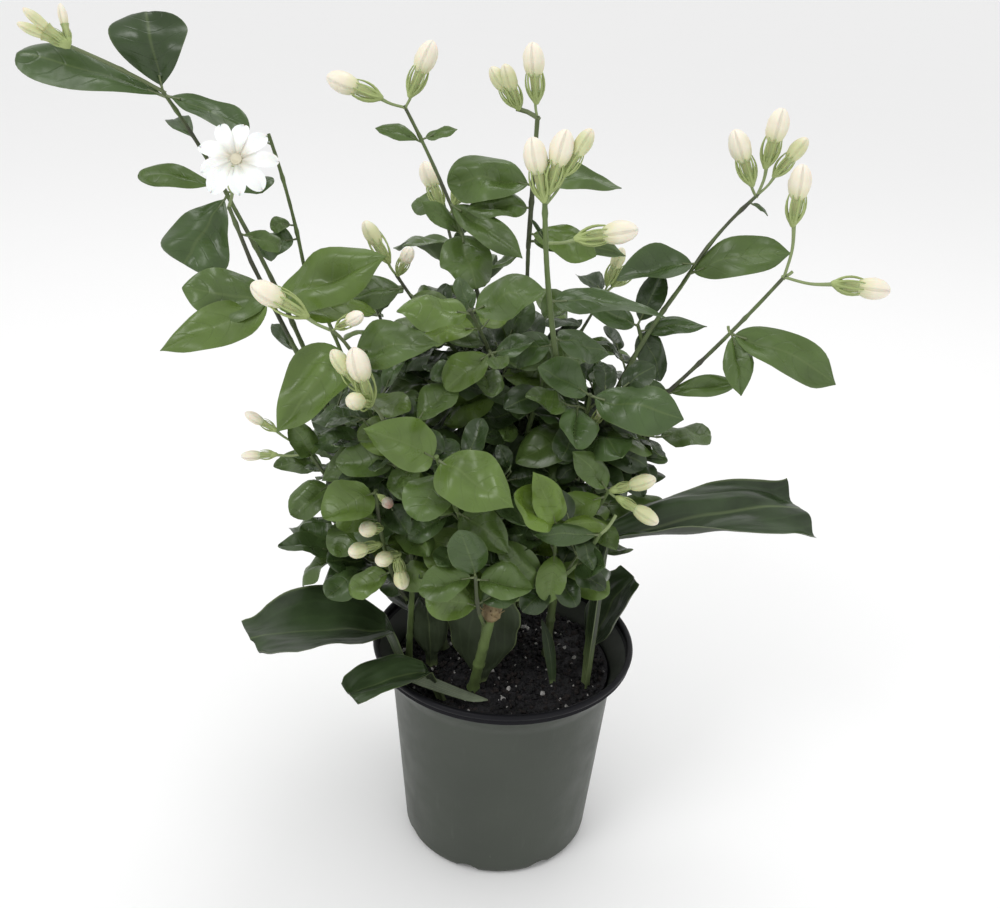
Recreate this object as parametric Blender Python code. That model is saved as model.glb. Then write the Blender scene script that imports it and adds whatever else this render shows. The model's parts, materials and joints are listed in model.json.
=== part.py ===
"""A potted flowering jasmine: a clump of woody stems in a plain nursery pot, with long leafy shoots.

The pot stands on its flat underside at the origin, +Z is up and the plant's front faces -Y.
Stems and boughs are tapering limbs. Each mass of foliage is one solid: twigs with leaves and buds
fused on, grown from the tip or the side of a limb, partly by named leaves and partly by a seeded rule.
"""

import collections
import math
import random

import bmesh
import bpy
from mathutils import Matrix, Vector
from mathutils.bvhtree import BVHTree

MM = 0.001
GAP = 0.3 * MM
UP = Vector((0, 0, 1))
FRONT = Vector((0, -1, 0))

# The pot, turned about +Z
POT_HEIGHT = 98 * MM
RIM_RADIUS = 57 * MM
RIM_ROLL = 2.6 * MM
SHOULDER_RADIUS = 48.6 * MM
SHOULDER_HEIGHT = 82 * MM
FOOT_RADIUS = 42 * MM
FOOT_CORNER = 4 * MM
POT_WALL = 1.2 * MM
POT_SEGMENTS = 36
FLARE_STEPS = 4
NOTCH_COUNT = 8
NOTCH_RADIUS = 6.5 * MM
NOTCH_DROP = 2.5 * MM
NOTCH_DEPTH = 6 * MM
NOTCH_TURN = math.radians(-106)

# The potting soil
SOIL_HEIGHT = 86 * MM
SOIL_EDGE_DROP = 1.5 * MM
SOIL_FLAT_RADIUS = 45 * MM

# Limbs
LIMB_SIDES = 6
LIMB_STEP = 16 * MM
FOOT_FLARE = 1.35
FOOT_FLARE_HEIGHT = 6 * MM

# Twigs and flower stalks
TWIG_SIDES = 3
TWIG_STEP = 13 * MM
TWIG_RADIUS = 0.85 * MM
TWIG_TIP_RADIUS = 0.7 * MM
TWIG_END = 0.985
STALK_RADIUS = 0.65 * MM
STALK_BOW = 0.6 * MM
CLEARANCE = 0.45 * MM

# Leaves: half widths along the blade, as (share of the length, share of the half width)
LONG_BLADE = ((0.0, 0.07), (0.34, 1.0), (0.70, 0.74))
SHORT_BLADE = ((0.0, 0.08), (0.42, 1.0))
LONG_BLADE_FROM = 25 * MM
LEAF_STALK = 4.5 * MM
LEAF_STALK_RADIUS = 0.45 * MM
LEAF_DEPTH = 1 / 55
LEAST_DEPTH = 0.55 * MM
LEAF_CURL = math.radians(28)
LEAF_TRIES = 9
LEAF_TRY_TURN = math.radians(11)
LEAF_TRY_SHRINK = 0.04
FRONT_LIGHT = Vector((0, -0.85, 1))
SKY_LIGHT = Vector((0, -0.2, 1))
OUTWARD_LIGHT = 0.45

# Buds: (height, radius) up one bud from the end of its stalk, and the open flower
BUD_SIDES = 5
BUD_PROFILE = ((1.0, 2.3), (6.8, 1.7), (11.8, 4.2), (16.6, 3.4))
BUD_LENGTH = 20
BUD_SIZES = {"bud": 1.0, "slim_bud": 0.82, "small_bud": 0.62, "tiny_bud": 0.42, "none": 1.0, "bloom": 1.0}
PETAL_COUNT = 8
BLOOM_RADIUS = 14.5 * MM
BLOOM_THROAT = 4.5 * MM
BLOOM_DEPTH = 0.9 * MM

# The seeded rule for leafy twigs
CROWN_AXIS = Vector((-12, 6, 0)) * MM
FIRST_PAIR = 9 * MM
PAIR_STEP = 12.9 * MM
PAIR_OPEN = math.radians(64)
LOW_LEAF = (21 * MM, 0.84)
HIGH_LEAF = (33 * MM, 0.62)
LOW_CROWN = 130 * MM
HIGH_CROWN = 270 * MM
SPRAY_RISE = 32
SPRAY_BOW = 2 * MM
SPRAY_TRIES = 8
SPRAY_TRY_TURN = 12
SPRAY_TRY_RISE = 4
SPRAY_TRY_SHRINK = 0.05
SIDE_TWIG = 19 * MM
SIDE_TWIG_OPEN = math.radians(48)
SIDE_TWIG_PLACES = ((0.42, 1), (0.66, -1))
PAIR_TURN = 90
END_MARGIN = 3 * MM

# Old leaves from the soil: (share of the length, share of the half width) of each piece of the blade.
# One whose stalk is longer than OLD_STALK_SPLIT_FROM, in millimetres, is two solids that meet at its bend.
OLD_BLADE = ((0.08, 0.45), (0.18, 0.86), (0.22, 1.0), (0.22, 0.96), (0.19, 0.72))
OLD_BLADE_TIP = 0.11
OLD_STALK = 0.28
OLD_STALK_SPLIT_FROM = 30
OLD_LEAF_DEPTH = 1 / 60
OLD_LEAF_LEAST_DEPTH = 0.9 * MM
OLD_LEAF_FOLD = 0.25

Limb = collections.namedtuple("Limb", "name parent at foot tip bow radius tip_radius")
Shoot = collections.namedtuple("Shoot", "name limb at tip bow blades stalks")
Spray = collections.namedtuple("Spray", "limb at heading length")
Basal = collections.namedtuple("Basal", "name foot heading rise stalk length width bend curl")
Path = collections.namedtuple("Path", "points radii")
Leaf = collections.namedtuple("Leaf", "root out face length width curl stalk")
Shell = collections.namedtuple("Shell", "vertices faces")

# Limbs, in millimetres. One with no parent stands on the soil at foot = (x, y). Any other leaves its
# parent at that share of its length. bow lifts the middle of the limb off the straight line.
LIMBS = (
    Limb("stem_left", None, 0, (-26, 6), (-66, 4, 170), 4, 1.9, 1.3),
    Limb("stem_front", None, 0, (-12, -23), (-5, -38, 137), 0, 2.2, 2.0),
    Limb("stem_left_green", None, 0, (-41, -6), (-38, -24, 140), 1, 1.5, 1.1),
    Limb("stem_centre", None, 0, (2, 10), (4, 12, 196), 3, 2.1, 1.4),
    Limb("stem_right", None, 0, (20, 4), (32, 0, 188), 3, 1.9, 1.3),
    Limb("stem_back", None, 0, (-6, 32), (-18, 54, 188), 3, 1.9, 1.3),
    Limb("bough_left_long", "stem_left", 1.0, None, (-111, 10, 281), 3.5, 1.1, 0.85),
    Limb("bough_left_flower", "stem_left", 0.84, None, (-100, -10, 264), -0.5, 1.05, 0.8),
    Limb("bough_left_back", "stem_left", 0.6, None, (-88, 32, 250), 4, 0.95, 0.75),
    Limb("bough_top_left", "stem_centre", 0.78, None, (-22, 34, 262), 2, 1.05, 0.8),
    Limb("bough_top_middle", "stem_centre", 1.0, None, (3, 38, 262), -2, 1.05, 0.8),
    Limb("bough_top_front", "stem_centre", 0.62, None, (14, -22, 236), 7, 1.1, 0.95),
    Limb("bough_right_high", "stem_right", 1.0, None, (64, 18, 254), 4, 1.15, 0.85),
    Limb("bough_right_low", "stem_right", 0.90, None, (56, -4, 213), 0, 1.15, 0.9),
)

# Shoots that show one by one, in millimetres. A blade is (share of the shoot, clock direction seen from
# the front, lean towards the front, length, width), in degrees. A flower stalk is (share of the shoot,
# clock direction, lean, length, what ends it). A shoot with no blades follows the seeded rule.
SHOOTS = (
    Shoot("left_long_shoot", "bough_left_long", 1.0, (-134, 10, 321), 1,
          ((0.06, 214, 22, 27, 28), (0.08, 73, -19, 15, 11), (0.14, 280, 12, 27, 14),
           (0.54, 308, -35, 14, 10), (0.95, 97, 17, 30, 15), (0.94, 289, 0, 51, 17), (1.0, 352, 0, 24, 28)),
          ((1.0, 297, 14, 35, ((293, 6, 2, "slim_bud"), (314, 16, 2, "slim_bud"),
                               (350, -9, 2, "small_bud"))),)),
    Shoot("left_flower_shoot", "bough_left_flower", 1.0, (-107, -10, 284), 0,
          ((0.5, 110, -30, 14, 9),), ((1.0, 13, 5, 9, "bloom"),)),
    Shoot("left_back_shoot", "bough_left_back", 1.0, (-100, 30, 304), 1,
          ((0.23, 264, 20, 13, 17), (0.33, 281, 20, 6, 8), (0.92, 294, -20, 5, 5)), ()),
    Shoot("left_node_shoot", "bough_left_flower", 0.84, (-92, -15, 250), 0,
          ((0.9, 284, 10, 30, 22), (1.0, 251, 26, 40, 18), (0.4, 57, 15, 46, 23), (0.6, 84, -2, 36, 18)), ()),
    Shoot("left_mid_shoot", "stem_left", 0.72, (-60, -34, 240), 3,
          ((0.45, 262, 30, 22, 15), (0.75, 80, 45, 18, 14), (0.97, 236, 32, 36, 28), (0.99, 72, 22, 30, 20)),
          ((1.0, 319, 5, 12, ((301, 4, 12, "bud"), (54, 25, 4, "small_bud"))),)),
    Shoot("left_bud_shoot", "stem_left_green", 1.0, (-47, -46, 218), 4,
          ((0.35, 100, 20, 19, 16), (0.40, 262, 20, 19, 16), (0.66, 110, 28, 22, 16),
           (0.70, 285, 10, 20, 15)),
          ((1.0, 327, 6, 10, ((345, 4, 2, "bud"), (324, -5, 7, "slim_bud"), (330, 62, 4, "slim_bud"))),)),
    Shoot("left_low_shoot", "stem_left", 0.62, (-81, -20, 195), -2,
          ((0.30, 120, 40, 18, 15), (0.45, 207, 58, 17, 15), (0.70, 252, 42, 17, 17),
           (0.90, 330, 10, 18, 13)),
          ((1.0, 303, 5, 14, "small_bud"), (0.94, 267, 6, 14, "small_bud"))),
    Shoot("left_front_shoot", "stem_left_green", 0.80, (-50, -46, 190), -5,
          ((0.30, 60, 30, 13, 13), (0.36, 250, 20, 15, 14), (0.60, 100, 35, 15, 14), (0.80, 278, 36, 15, 14),
           (1.0, 265, 40, 18, 20)),
          ((0.98, 100, 50, 3, "tiny_bud"), (0.74, 310, 55, 1, "slim_bud"), (0.62, 270, 35, 3, "slim_bud"),
           (0.5, 55, 30, 7, ((290, 55, 0, "slim_bud"), (166, 20, 2, "slim_bud"))))),
    Shoot("stub_shoot", "stem_front", 1.0, (34, -46, 176), -6,
          ((0.40, 327, 20, 25, 14), (0.45, 246, 48, 12, 11), (0.68, 105, 35, 11, 11), (0.70, 340, 15, 20, 16),
           (1.0, 282, 15, 24, 10)), ((1.0, 32, 0, 10, "none"),)),
    Shoot("stub_left_shoot", "stem_front", 0.88, (-12, -54, 160), -3,
          ((0.5, 303, 26, 18, 16), (0.55, 60, -10, 17, 14), (1.0, 262, 10, 18, 15), (0.95, 75, 25, 18, 15),
           (1.0, 350, 20, 20, 15)), ()),
    Shoot("front_light_shoot", "stem_right", 0.42, (17, -48, 180), -4,
          ((0.5, 260, 20, 20, 17), (0.55, 95, 20, 20, 16), (0.75, 185, 50, 17, 12), (1.0, 346, 20, 22, 14),
           (1.0, 322, 30, 24, 20), (0.97, 56, 12, 24, 10)), ()),
    Shoot("centre_front_shoot", "stem_centre", 0.36, (-27, -60, 211), -4,
          ((0.35, 290, 20, 20, 17), (0.40, 75, 20, 20, 17), (0.60, 228, 45, 17, 17), (0.70, 106, 25, 22, 17),
           (0.93, 216, 56, 17, 18), (1.0, 307, 18, 25, 20), (1.0, 102, 37, 29, 23)), ()),
    Shoot("top_low_shoot", "bough_top_left", 0.42, (-48, 6, 257), -2,
          ((0.5, 70, 20, 22, 17), (0.55, 250, 0, 22, 15), (0.85, 108, 30, 20, 14), (0.9, 262, 10, 28, 17)),
          ((1.0, 329, 0, 8, "slim_bud"), (1.0, 24, 16, 2, "small_bud"))),
    Shoot("top_left_shoot", "bough_top_left", 1.0, (-48, 36, 316), 1,
          ((0.08, 314, 7, 17, 9), (0.10, 160, 54, 24, 21), (0.30, 110, 37, 35, 14), (0.74, 295, 6, 16, 8),
           (0.76, 64, 6, 11, 6)),
          ((1.0, 289, 0, 12, "bud"), (1.0, 23, 0, 7, "bud"))),
    Shoot("top_middle_shoot", "bough_top_middle", 1.0, (4, 38, 314), 0,
          ((0.04, 85, 8, 39, 15), (0.10, 87, 29, 26, 17), (0.30, 286, 26, 24, 15), (0.48, 283, 15, 31, 24),
           (0.50, 79, 13, 32, 19)),
          ((1.0, 353, 0, 8, "bud"), (1.0, 290, 0, 9, ((323, 0, 3, "slim_bud"), (339, 8, 2, "slim_bud"))))),
    Shoot("top_front_shoot", "bough_top_front", 1.0, (7, -20, 292), -1,
          ((0.08, 250, -20, 22, 14), (0.12, 110, -30, 26, 14), (0.37, 81, 12, 39, 13), (0.75, 330, 0, 6, 2)),
          ((1.0, 346, 0, 4, "bud"), (1.0, 13, 0, 7, "bud"), (1.0, 29, -4, 14, "slim_bud"),
           (0.75, 79, 0, 13, "bud"))),
    Shoot("top_inner_shoot", "stem_centre", 0.92, (-18, -26, 254), 3,
          ((0.4, 250, 20, 24, 16), (0.5, 100, 30, 26, 17), (0.97, 285, 20, 24, 17),
           (1.0, 55, 21, 26, 21)), ()),
    Shoot("right_high_shoot", "bough_right_high", 1.0, (90, 20, 291), 2,
          ((0.22, 274, 17, 29, 20), (0.12, 57, 24, 36, 19), (0.9, 110, -20, 8, 3)),
          ((0.97, 335, 0, 7, "bud"), (1.0, 9, 0, 13, "bud"), (1.0, 37, -4, 11, "slim_bud"))),
    Shoot("right_high_node_shoot", "bough_right_high", 0.66, (48, 16, 238), 0,
          ((0.5, 67, 10, 24, 10), (0.7, 131, 31, 21, 14), (0.9, 300, 20, 22, 14), (1.0, 20, 0, 20, 12)), ()),
    Shoot("right_low_shoot", "bough_right_low", 1.0, (100, 0, 265), -1,
          ((0.06, 66, 11, 26, 9), (0.10, 262, 0, 20, 13), (0.56, 101, 16, 43, 20), (0.57, 161, 35, 21, 13)),
          ((1.0, 1, 0, 22, "bud"), (1.0, 95, 0, 21, "bud"), (1.0, 60, -20, 4, "none"),
           (0.56, 340, 0, 3, "none"))),
    Shoot("right_front_shoot", "stem_right", 0.66, (37, -32, 187), -2,
          ((0.40, 250, 20, 20, 15), (0.55, 110, 10, 20, 14), (0.92, 262, 30, 20, 14), (1.0, 330, 10, 18, 12)),
          ((1.0, 64, 13, 3, "slim_bud"), (1.0, 114, 21, 6, "slim_bud"))),
    Shoot("right_inner_shoot", "stem_right", 0.86, (28, -22, 222), 2,
          ((0.4, 250, 20, 24, 16), (0.5, 95, 20, 24, 16), (1.0, 95, 24, 32, 22), (1.0, 290, 10, 26, 18)),
          ((0.55, 22, 30, 11, "small_bud"),)),
    Shoot("back_shoot", "stem_back", 1.0, (-34, 86, 262), 5, (),
          ((1.0, 335, -20, 8, "bud"), (1.0, 25, -20, 10, "bud"))),
    Shoot("back_left_shoot", "stem_back", 0.62, (-66, 88, 218), -4, (), ((1.0, 300, -20, 8, "bud"),)),
    Shoot("back_right_shoot", "stem_back", 0.78, (40, 84, 232), -4, (),
          ((1.0, 50, -20, 8, "bud"), (1.0, 20, -10, 6, "slim_bud"))),
)

# Side sprays by the seeded rule: the limb that carries each, where, its compass heading and its length.
SPRAYS = (
    Spray("stem_left", 0.50, 205, 40), Spray("stem_left", 0.80, 130, 40),
    Spray("stem_centre", 0.50, 30, 46), Spray("stem_centre", 0.58, 160, 48),
    Spray("stem_centre", 0.70, 235, 48), Spray("stem_centre", 0.86, 345, 46),
    Spray("stem_centre", 0.96, 190, 44),
    Spray("stem_right", 0.52, 70, 40), Spray("stem_back", 0.34, 120, 38), Spray("stem_back", 0.90, 150, 44),
)

# Broad old leaves that rise straight from the soil, in millimetres and degrees.
BASALS = (
    Basal("basal_leaf_left", (-40, -17), 200, 70, 25, 58, 44, 52, 26),
    Basal("basal_leaf_low_left", (-25, -31), 212, 66, 16, 36, 24, 48, 34),
    Basal("basal_leaf_front", (-9, -18), 268, 84, 4, 45, 30, -6, 8),
    Basal("basal_leaf_inner", (-31, -8), 262, 80, 6, 32, 16, 0, 6),
    Basal("basal_leaf_right", (36, -18), 12, 87, 68, 86, 32, 70, 22),
    Basal("basal_leaf_right_back", (38, 2), 20, 78, 8, 36, 28, 4, 24),
    Basal("basal_leaf_left_back", (-37, 17), 168, 68, 12, 46, 36, 10, 26),
    Basal("basal_leaf_back", (6, 42), 80, 64, 12, 60, 34, 14, 34),
)


def direction(clock, lean):
    """The unit vector at a clock direction seen from the front, leaning towards the front."""
    clock, lean = math.radians(clock), math.radians(lean)
    return Vector((math.sin(clock) * math.cos(lean), -math.sin(lean), math.cos(clock) * math.cos(lean)))


def compass(heading, rise):
    heading, rise = math.radians(heading), math.radians(rise)
    return Vector((math.cos(heading) * math.cos(rise), math.sin(heading) * math.cos(rise), math.sin(rise)))


def across(axis, reference):
    """The unit vector square to axis that lies nearest to reference."""
    found = reference - axis * (reference.dot(axis) / axis.length_squared)
    return found.normalized() if found.length > 1e-6 else axis.orthogonal().normalized()


def curve(start, tip, bow, radius, tip_radius, step):
    """A tapering path whose middle is lifted off the straight line by bow."""
    middle = (start + tip) / 2 + across(tip - start, UP) * bow * 2
    count = max(2, round((tip - start).length / step))
    shares = [index / count for index in range(count + 1)]
    points = [start * (1 - s) ** 2 + middle * 2 * s * (1 - s) + tip * s * s for s in shares]
    return Path(points, [radius + (tip_radius - radius) * s for s in shares])


def along(path, share):
    """The point, direction and radius at a share of a path."""
    place = min(max(share, 0), 1) * (len(path.points) - 1)
    index = min(int(place), len(path.points) - 2)
    part = place - index
    first, last = path.points[index], path.points[index + 1]
    radius = path.radii[index] * (1 - part) + path.radii[index + 1] * part
    return first.lerp(last, part), (last - first).normalized(), radius


def clear_start(path, share, aim, radius):
    """Where a new limb of that radius begins, clear of the limb that it leaves."""
    point, tangent, parent_radius = along(path, share)
    if share >= 1:
        slope = tangent.cross(aim.normalized()).length
        return point + tangent * (GAP + radius * slope)
    outward = across(tangent, aim)
    slope = abs(tangent.dot(aim.normalized()))
    return point + outward * (parent_radius + GAP + radius * slope)


def tube(points, radii, sides, level_foot=False):
    """A closed tube with flat ends. It comes to a point where the last radius is zero."""
    vertices, faces, rings = [], [], []
    side = None
    for index, (point, radius) in enumerate(zip(points, radii)):
        ahead = points[min(index + 1, len(points) - 1)]
        behind = points[max(index - 1, 0)]
        axis = UP if level_foot and index == 0 else (ahead - behind).normalized()
        side = across(axis, side or FRONT)
        rings.append(len(vertices))
        if radius == 0:
            vertices.append(point.copy())
            continue
        for turn in range(sides):
            angle = 2 * math.pi * turn / sides
            vertices.append(point + (side * math.cos(angle) + axis.cross(side) * math.sin(angle)) * radius)
    for first, last, radius in zip(rings, rings[1:], radii[1:]):
        for turn in range(sides):
            beside = (turn + 1) % sides
            if radius == 0:
                faces.append((first + turn, first + beside, last))
            else:
                faces.append((first + turn, first + beside, last + beside, last + turn))
    faces.append(tuple(range(sides))[::-1])
    if radii[-1] > 0:
        faces.append(tuple(range(rings[-1], rings[-1] + sides)))
    return Shell(vertices, faces)


def turned(profile, segments):
    """A closed shell turned about +Z from (radius, height) points that begin and end on the axis."""
    vertices, faces, rings = [], [], []
    for radius, height in profile:
        count = segments if radius > 0 else 1
        rings.append([len(vertices) + turn for turn in range(count)])
        for turn in range(count):
            angle = 2 * math.pi * turn / segments
            vertices.append(Vector((radius * math.cos(angle), radius * math.sin(angle), height)))
    for first, last in zip(rings, rings[1:]):
        for turn in range(segments):
            beside = (turn + 1) % segments
            corners = [first[turn % len(first)], first[beside % len(first)],
                       last[beside % len(last)], last[turn % len(last)]]
            faces.append(tuple(dict.fromkeys(corners)))
    return Shell(vertices, faces)


def ribbon(rings, tip=None):
    """A thin closed blade from rings of (left edge, right edge, keel) to its tip, or to a flat end."""
    vertices = [point for ring in rings for point in ring]
    faces = [(0, 1, 2)]
    for start in range(0, 3 * (len(rings) - 1), 3):
        for corner in range(3):
            beside = (corner + 1) % 3
            faces.append((start + corner, start + 3 + corner, start + 3 + beside, start + beside))
    last = len(vertices) - 3
    if tip is None:
        faces.append((last, last + 2, last + 1))
    else:
        vertices.append(tip)
        faces += [(last + corner, last + 3, last + (corner + 1) % 3) for corner in range(3)]
    return Shell(vertices, faces)


def blade_point(leaf, share, spread, lift):
    """A point of a leaf's blade: share along its rib, spread to its right, lift off its upper face."""
    side = leaf.out.cross(leaf.face)
    turn = leaf.curl * share
    reach = leaf.length / leaf.curl
    forward, down = reach * math.sin(turn), reach * (1 - math.cos(turn))
    rib = leaf.root + leaf.out * (leaf.stalk + forward) - leaf.face * down
    normal = leaf.face * math.cos(turn) + leaf.out * math.sin(turn)
    return rib + side * spread + normal * lift


def leaf_shell(leaf, spare=0.0):
    """One leaf as a thin closed shell on its stalk."""
    sections = LONG_BLADE if leaf.length >= LONG_BLADE_FROM else SHORT_BLADE
    depth = max(LEAST_DEPTH, leaf.length * LEAF_DEPTH)
    side = leaf.out.cross(leaf.face) * LEAF_STALK_RADIUS
    rings = [(leaf.root - side, leaf.root + side, leaf.root - leaf.face * LEAF_STALK_RADIUS * 1.6)]
    for share, spread in sections:
        half = max(leaf.width / 2 * spread, LEAF_STALK_RADIUS)
        rings.append((blade_point(leaf, share, -half, 0), blade_point(leaf, share, half, 0),
                      blade_point(leaf, share, 0, -depth)))
    return ribbon(rings, blade_point(leaf, 1, 0, 0))


def leaf_space(leaf):
    """The room that a leaf's blade needs, and the room that its stalk needs."""
    sections = LONG_BLADE if leaf.length >= LONG_BLADE_FROM else SHORT_BLADE
    depth = max(LEAST_DEPTH, leaf.length * LEAF_DEPTH)
    rings = []
    for share, spread in sections:
        half = max(leaf.width / 2 * spread, LEAF_STALK_RADIUS) + CLEARANCE
        rings.append((blade_point(leaf, share, -half, CLEARANCE), blade_point(leaf, share, half, CLEARANCE),
                      blade_point(leaf, share, 0, -depth - CLEARANCE)))
    blade = ribbon(rings, blade_point(leaf, 1 + CLEARANCE / leaf.length, 0, 0))
    stalk = [leaf.root, leaf.root + leaf.out * leaf.stalk]
    return blade, tube(stalk, [LEAF_STALK_RADIUS + CLEARANCE] * 2, BUD_SIDES)


class Crowd:
    """Everything grown so far, kept so that new growth can stay clear of it."""

    def __init__(self):
        self.trees = []

    @staticmethod
    def bounds(shell):
        low = [min(point[axis] for point in shell.vertices) for axis in range(3)]
        high = [max(point[axis] for point in shell.vertices) for axis in range(3)]
        return low, high

    def add(self, shell, owner=None):
        tree = BVHTree.FromPolygons(shell.vertices, shell.faces)
        self.trees.append((*self.bounds(shell), tree, owner))

    def free(self, shell, apart_from=None):
        """Whether a shell touches nothing, apart from what one owner has grown."""
        low, high = self.bounds(shell)
        tree = None
        for other_low, other_high, other, owner in self.trees:
            if owner is not None and owner == apart_from:
                continue
            if any(high[axis] < other_low[axis] or low[axis] > other_high[axis] for axis in range(3)):
                continue
            tree = tree or BVHTree.FromPolygons(shell.vertices, shell.faces)
            if tree.overlap(other):
                return False
        return True


class Mass:
    """One mass of foliage: a main twig, and the twigs, leaves, buds and flowers on it."""

    def __init__(self, name, crowd):
        self.name = name
        self.crowd = crowd
        self.random = random.Random(name)
        self.path = None
        self.shells = []
        self.leaves = []
        self.ends = []

    def keep(self, shell):
        self.shells.append(shell)
        self.crowd.add(shell, self.name)

    def add_twig(self, path):
        self.keep(tube(path.points, path.radii, TWIG_SIDES))

    def add_leaf(self, root, aim, size, width, light=FRONT_LIGHT):
        """Adds a leaf that points along aim, turned a little or made smaller until it is clear."""
        for attempt in range(LEAF_TRIES):
            turn = LEAF_TRY_TURN * attempt
            spin = Matrix.Rotation(self.random.uniform(-turn, turn), 3, UP)
            tilt = Matrix.Rotation(self.random.uniform(-turn, turn), 3, aim.orthogonal())
            out = (tilt @ spin @ aim).normalized()
            scale = 1 - LEAF_TRY_SHRINK * attempt
            leaf = Leaf(root, out, across(out, light), size * scale, width * scale, LEAF_CURL, LEAF_STALK)
            blade, stalk = leaf_space(leaf)
            if self.crowd.free(blade) and self.crowd.free(stalk, apart_from=self.name):
                self.leaves.append(leaf)
                self.keep(leaf_shell(leaf))
                return leaf
        return None

    def add_cyme(self, root, stalks):
        """Adds flower stalks that fan from one point, each with what ends it."""
        for clock, lean, length, end in stalks:
            aim = direction(clock, lean)
            if isinstance(end, tuple):
                tip = root + aim * length * MM
                path = curve(root, tip, STALK_BOW, TWIG_TIP_RADIUS, TWIG_TIP_RADIUS, TWIG_STEP)
                self.add_twig(path)
                self.add_cyme(path.points[-1] - aim * STALK_RADIUS * 2, end)
            else:
                self.add_end(root, aim, length, end)

    def add_end(self, root, aim, length, kind):
        size = BUD_SIZES[kind]
        stalk_end = root + aim * length * MM
        points, radii = [root], [STALK_RADIUS * size]
        if kind == "none":
            points.append(stalk_end)
            radii.append(STALK_RADIUS * 0.8)
        elif kind == "bloom":
            points += [stalk_end, stalk_end + aim * BLOOM_THROAT * 2]
            radii += [STALK_RADIUS, STALK_RADIUS * 2]
        else:
            if length > 1:
                points.append(stalk_end)
                radii.append(STALK_RADIUS * size)
            for height, radius in BUD_PROFILE:
                points.append(stalk_end + aim * height * size * MM)
                radii.append(radius * size * MM)
            points.append(stalk_end + aim * BUD_LENGTH * size * MM)
            radii.append(0)
        self.ends.append((kind, root, aim, stalk_end, size))
        self.keep(tube(points, radii, BUD_SIDES))
        if kind == "bloom":
            self.keep(bloom_shell(points[-1]))

    def add_pairs(self, path, first):
        """Adds opposite leaf pairs up a twig, each pair square to the one before, and an end leaf."""
        length = sum((b - a).length for a, b in zip(path.points, path.points[1:]))
        place, turn = first, self.random.uniform(-30, 30)
        while place < length - END_MARGIN:
            root, tangent, _ = along(path, place / length)
            share = min(max((root.z - LOW_CROWN) / (HIGH_CROWN - LOW_CROWN), 0), 1)
            size = LOW_LEAF[0] + (HIGH_LEAF[0] - LOW_LEAF[0]) * share
            ratio = LOW_LEAF[1] + (HIGH_LEAF[1] - LOW_LEAF[1]) * share
            outward = (root - CROWN_AXIS).to_2d().to_3d().normalized()
            light = SKY_LIGHT + outward * OUTWARD_LIGHT
            side = Matrix.Rotation(math.radians(turn), 3, tangent) @ across(tangent, UP).cross(tangent)
            for hand in (side, -side):
                aim = tangent * math.cos(PAIR_OPEN) + hand * math.sin(PAIR_OPEN)
                own = size * self.random.uniform(0.82, 1.12)
                self.add_leaf(root, aim.normalized(), own, own * ratio, light)
            place += PAIR_STEP * self.random.uniform(0.9, 1.1)
            turn += PAIR_TURN + self.random.uniform(-16, 16)
        root, tangent, _ = along(path, TWIG_END)
        own = LOW_LEAF[0] * self.random.uniform(0.9, 1.1)
        self.add_leaf(root, tangent, own, own * LOW_LEAF[1], SKY_LIGHT)

    def add_side_twigs(self, path):
        """Adds two short twigs to the sides of the main one, where there is room."""
        for share, hand in SIDE_TWIG_PLACES:
            root, tangent, _ = along(path, share)
            side = across(tangent, UP).cross(tangent) * hand
            aim = tangent * math.cos(SIDE_TWIG_OPEN) + side * math.sin(SIDE_TWIG_OPEN)
            length = SIDE_TWIG * self.random.uniform(0.85, 1.15)
            twig = curve(root, root + aim * length, 1 * MM, TWIG_TIP_RADIUS, TWIG_TIP_RADIUS * 0.8, TWIG_STEP)
            wide = [radius + CLEARANCE for radius in twig.radii]
            near, far = tube(twig.points[:2], wide[:2], BUD_SIDES), tube(twig.points[1:], wide[1:], BUD_SIDES)
            if self.crowd.free(far) and self.crowd.free(near, apart_from=self.name):
                self.add_twig(twig)
                self.add_pairs(twig, FIRST_PAIR)


def bloom_shell(centre):
    """The open flower: a shallow star of rounded petals that faces the front and up."""
    face = (FRONT * 0.88 + UP * 0.47).normalized()
    side = across(face, Vector((1, 0, 0)))
    rise = face.cross(side)
    outline = []
    for step in range(4 * PETAL_COUNT):
        angle = 2 * math.pi * step / (4 * PETAL_COUNT)
        radius = BLOOM_RADIUS * (1, 0.94, 0.42, 0.94)[step % 4]
        outline.append(centre + (side * math.cos(angle) + rise * math.sin(angle)) * radius)
    vertices = [centre + face * BLOOM_DEPTH, centre - face * BLOOM_DEPTH] + outline
    faces = []
    for step in range(len(outline)):
        here, beside = 2 + step, 2 + (step + 1) % len(outline)
        faces += [(0, here, beside), (1, beside, here)]
    return Shell(vertices, faces)


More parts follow.
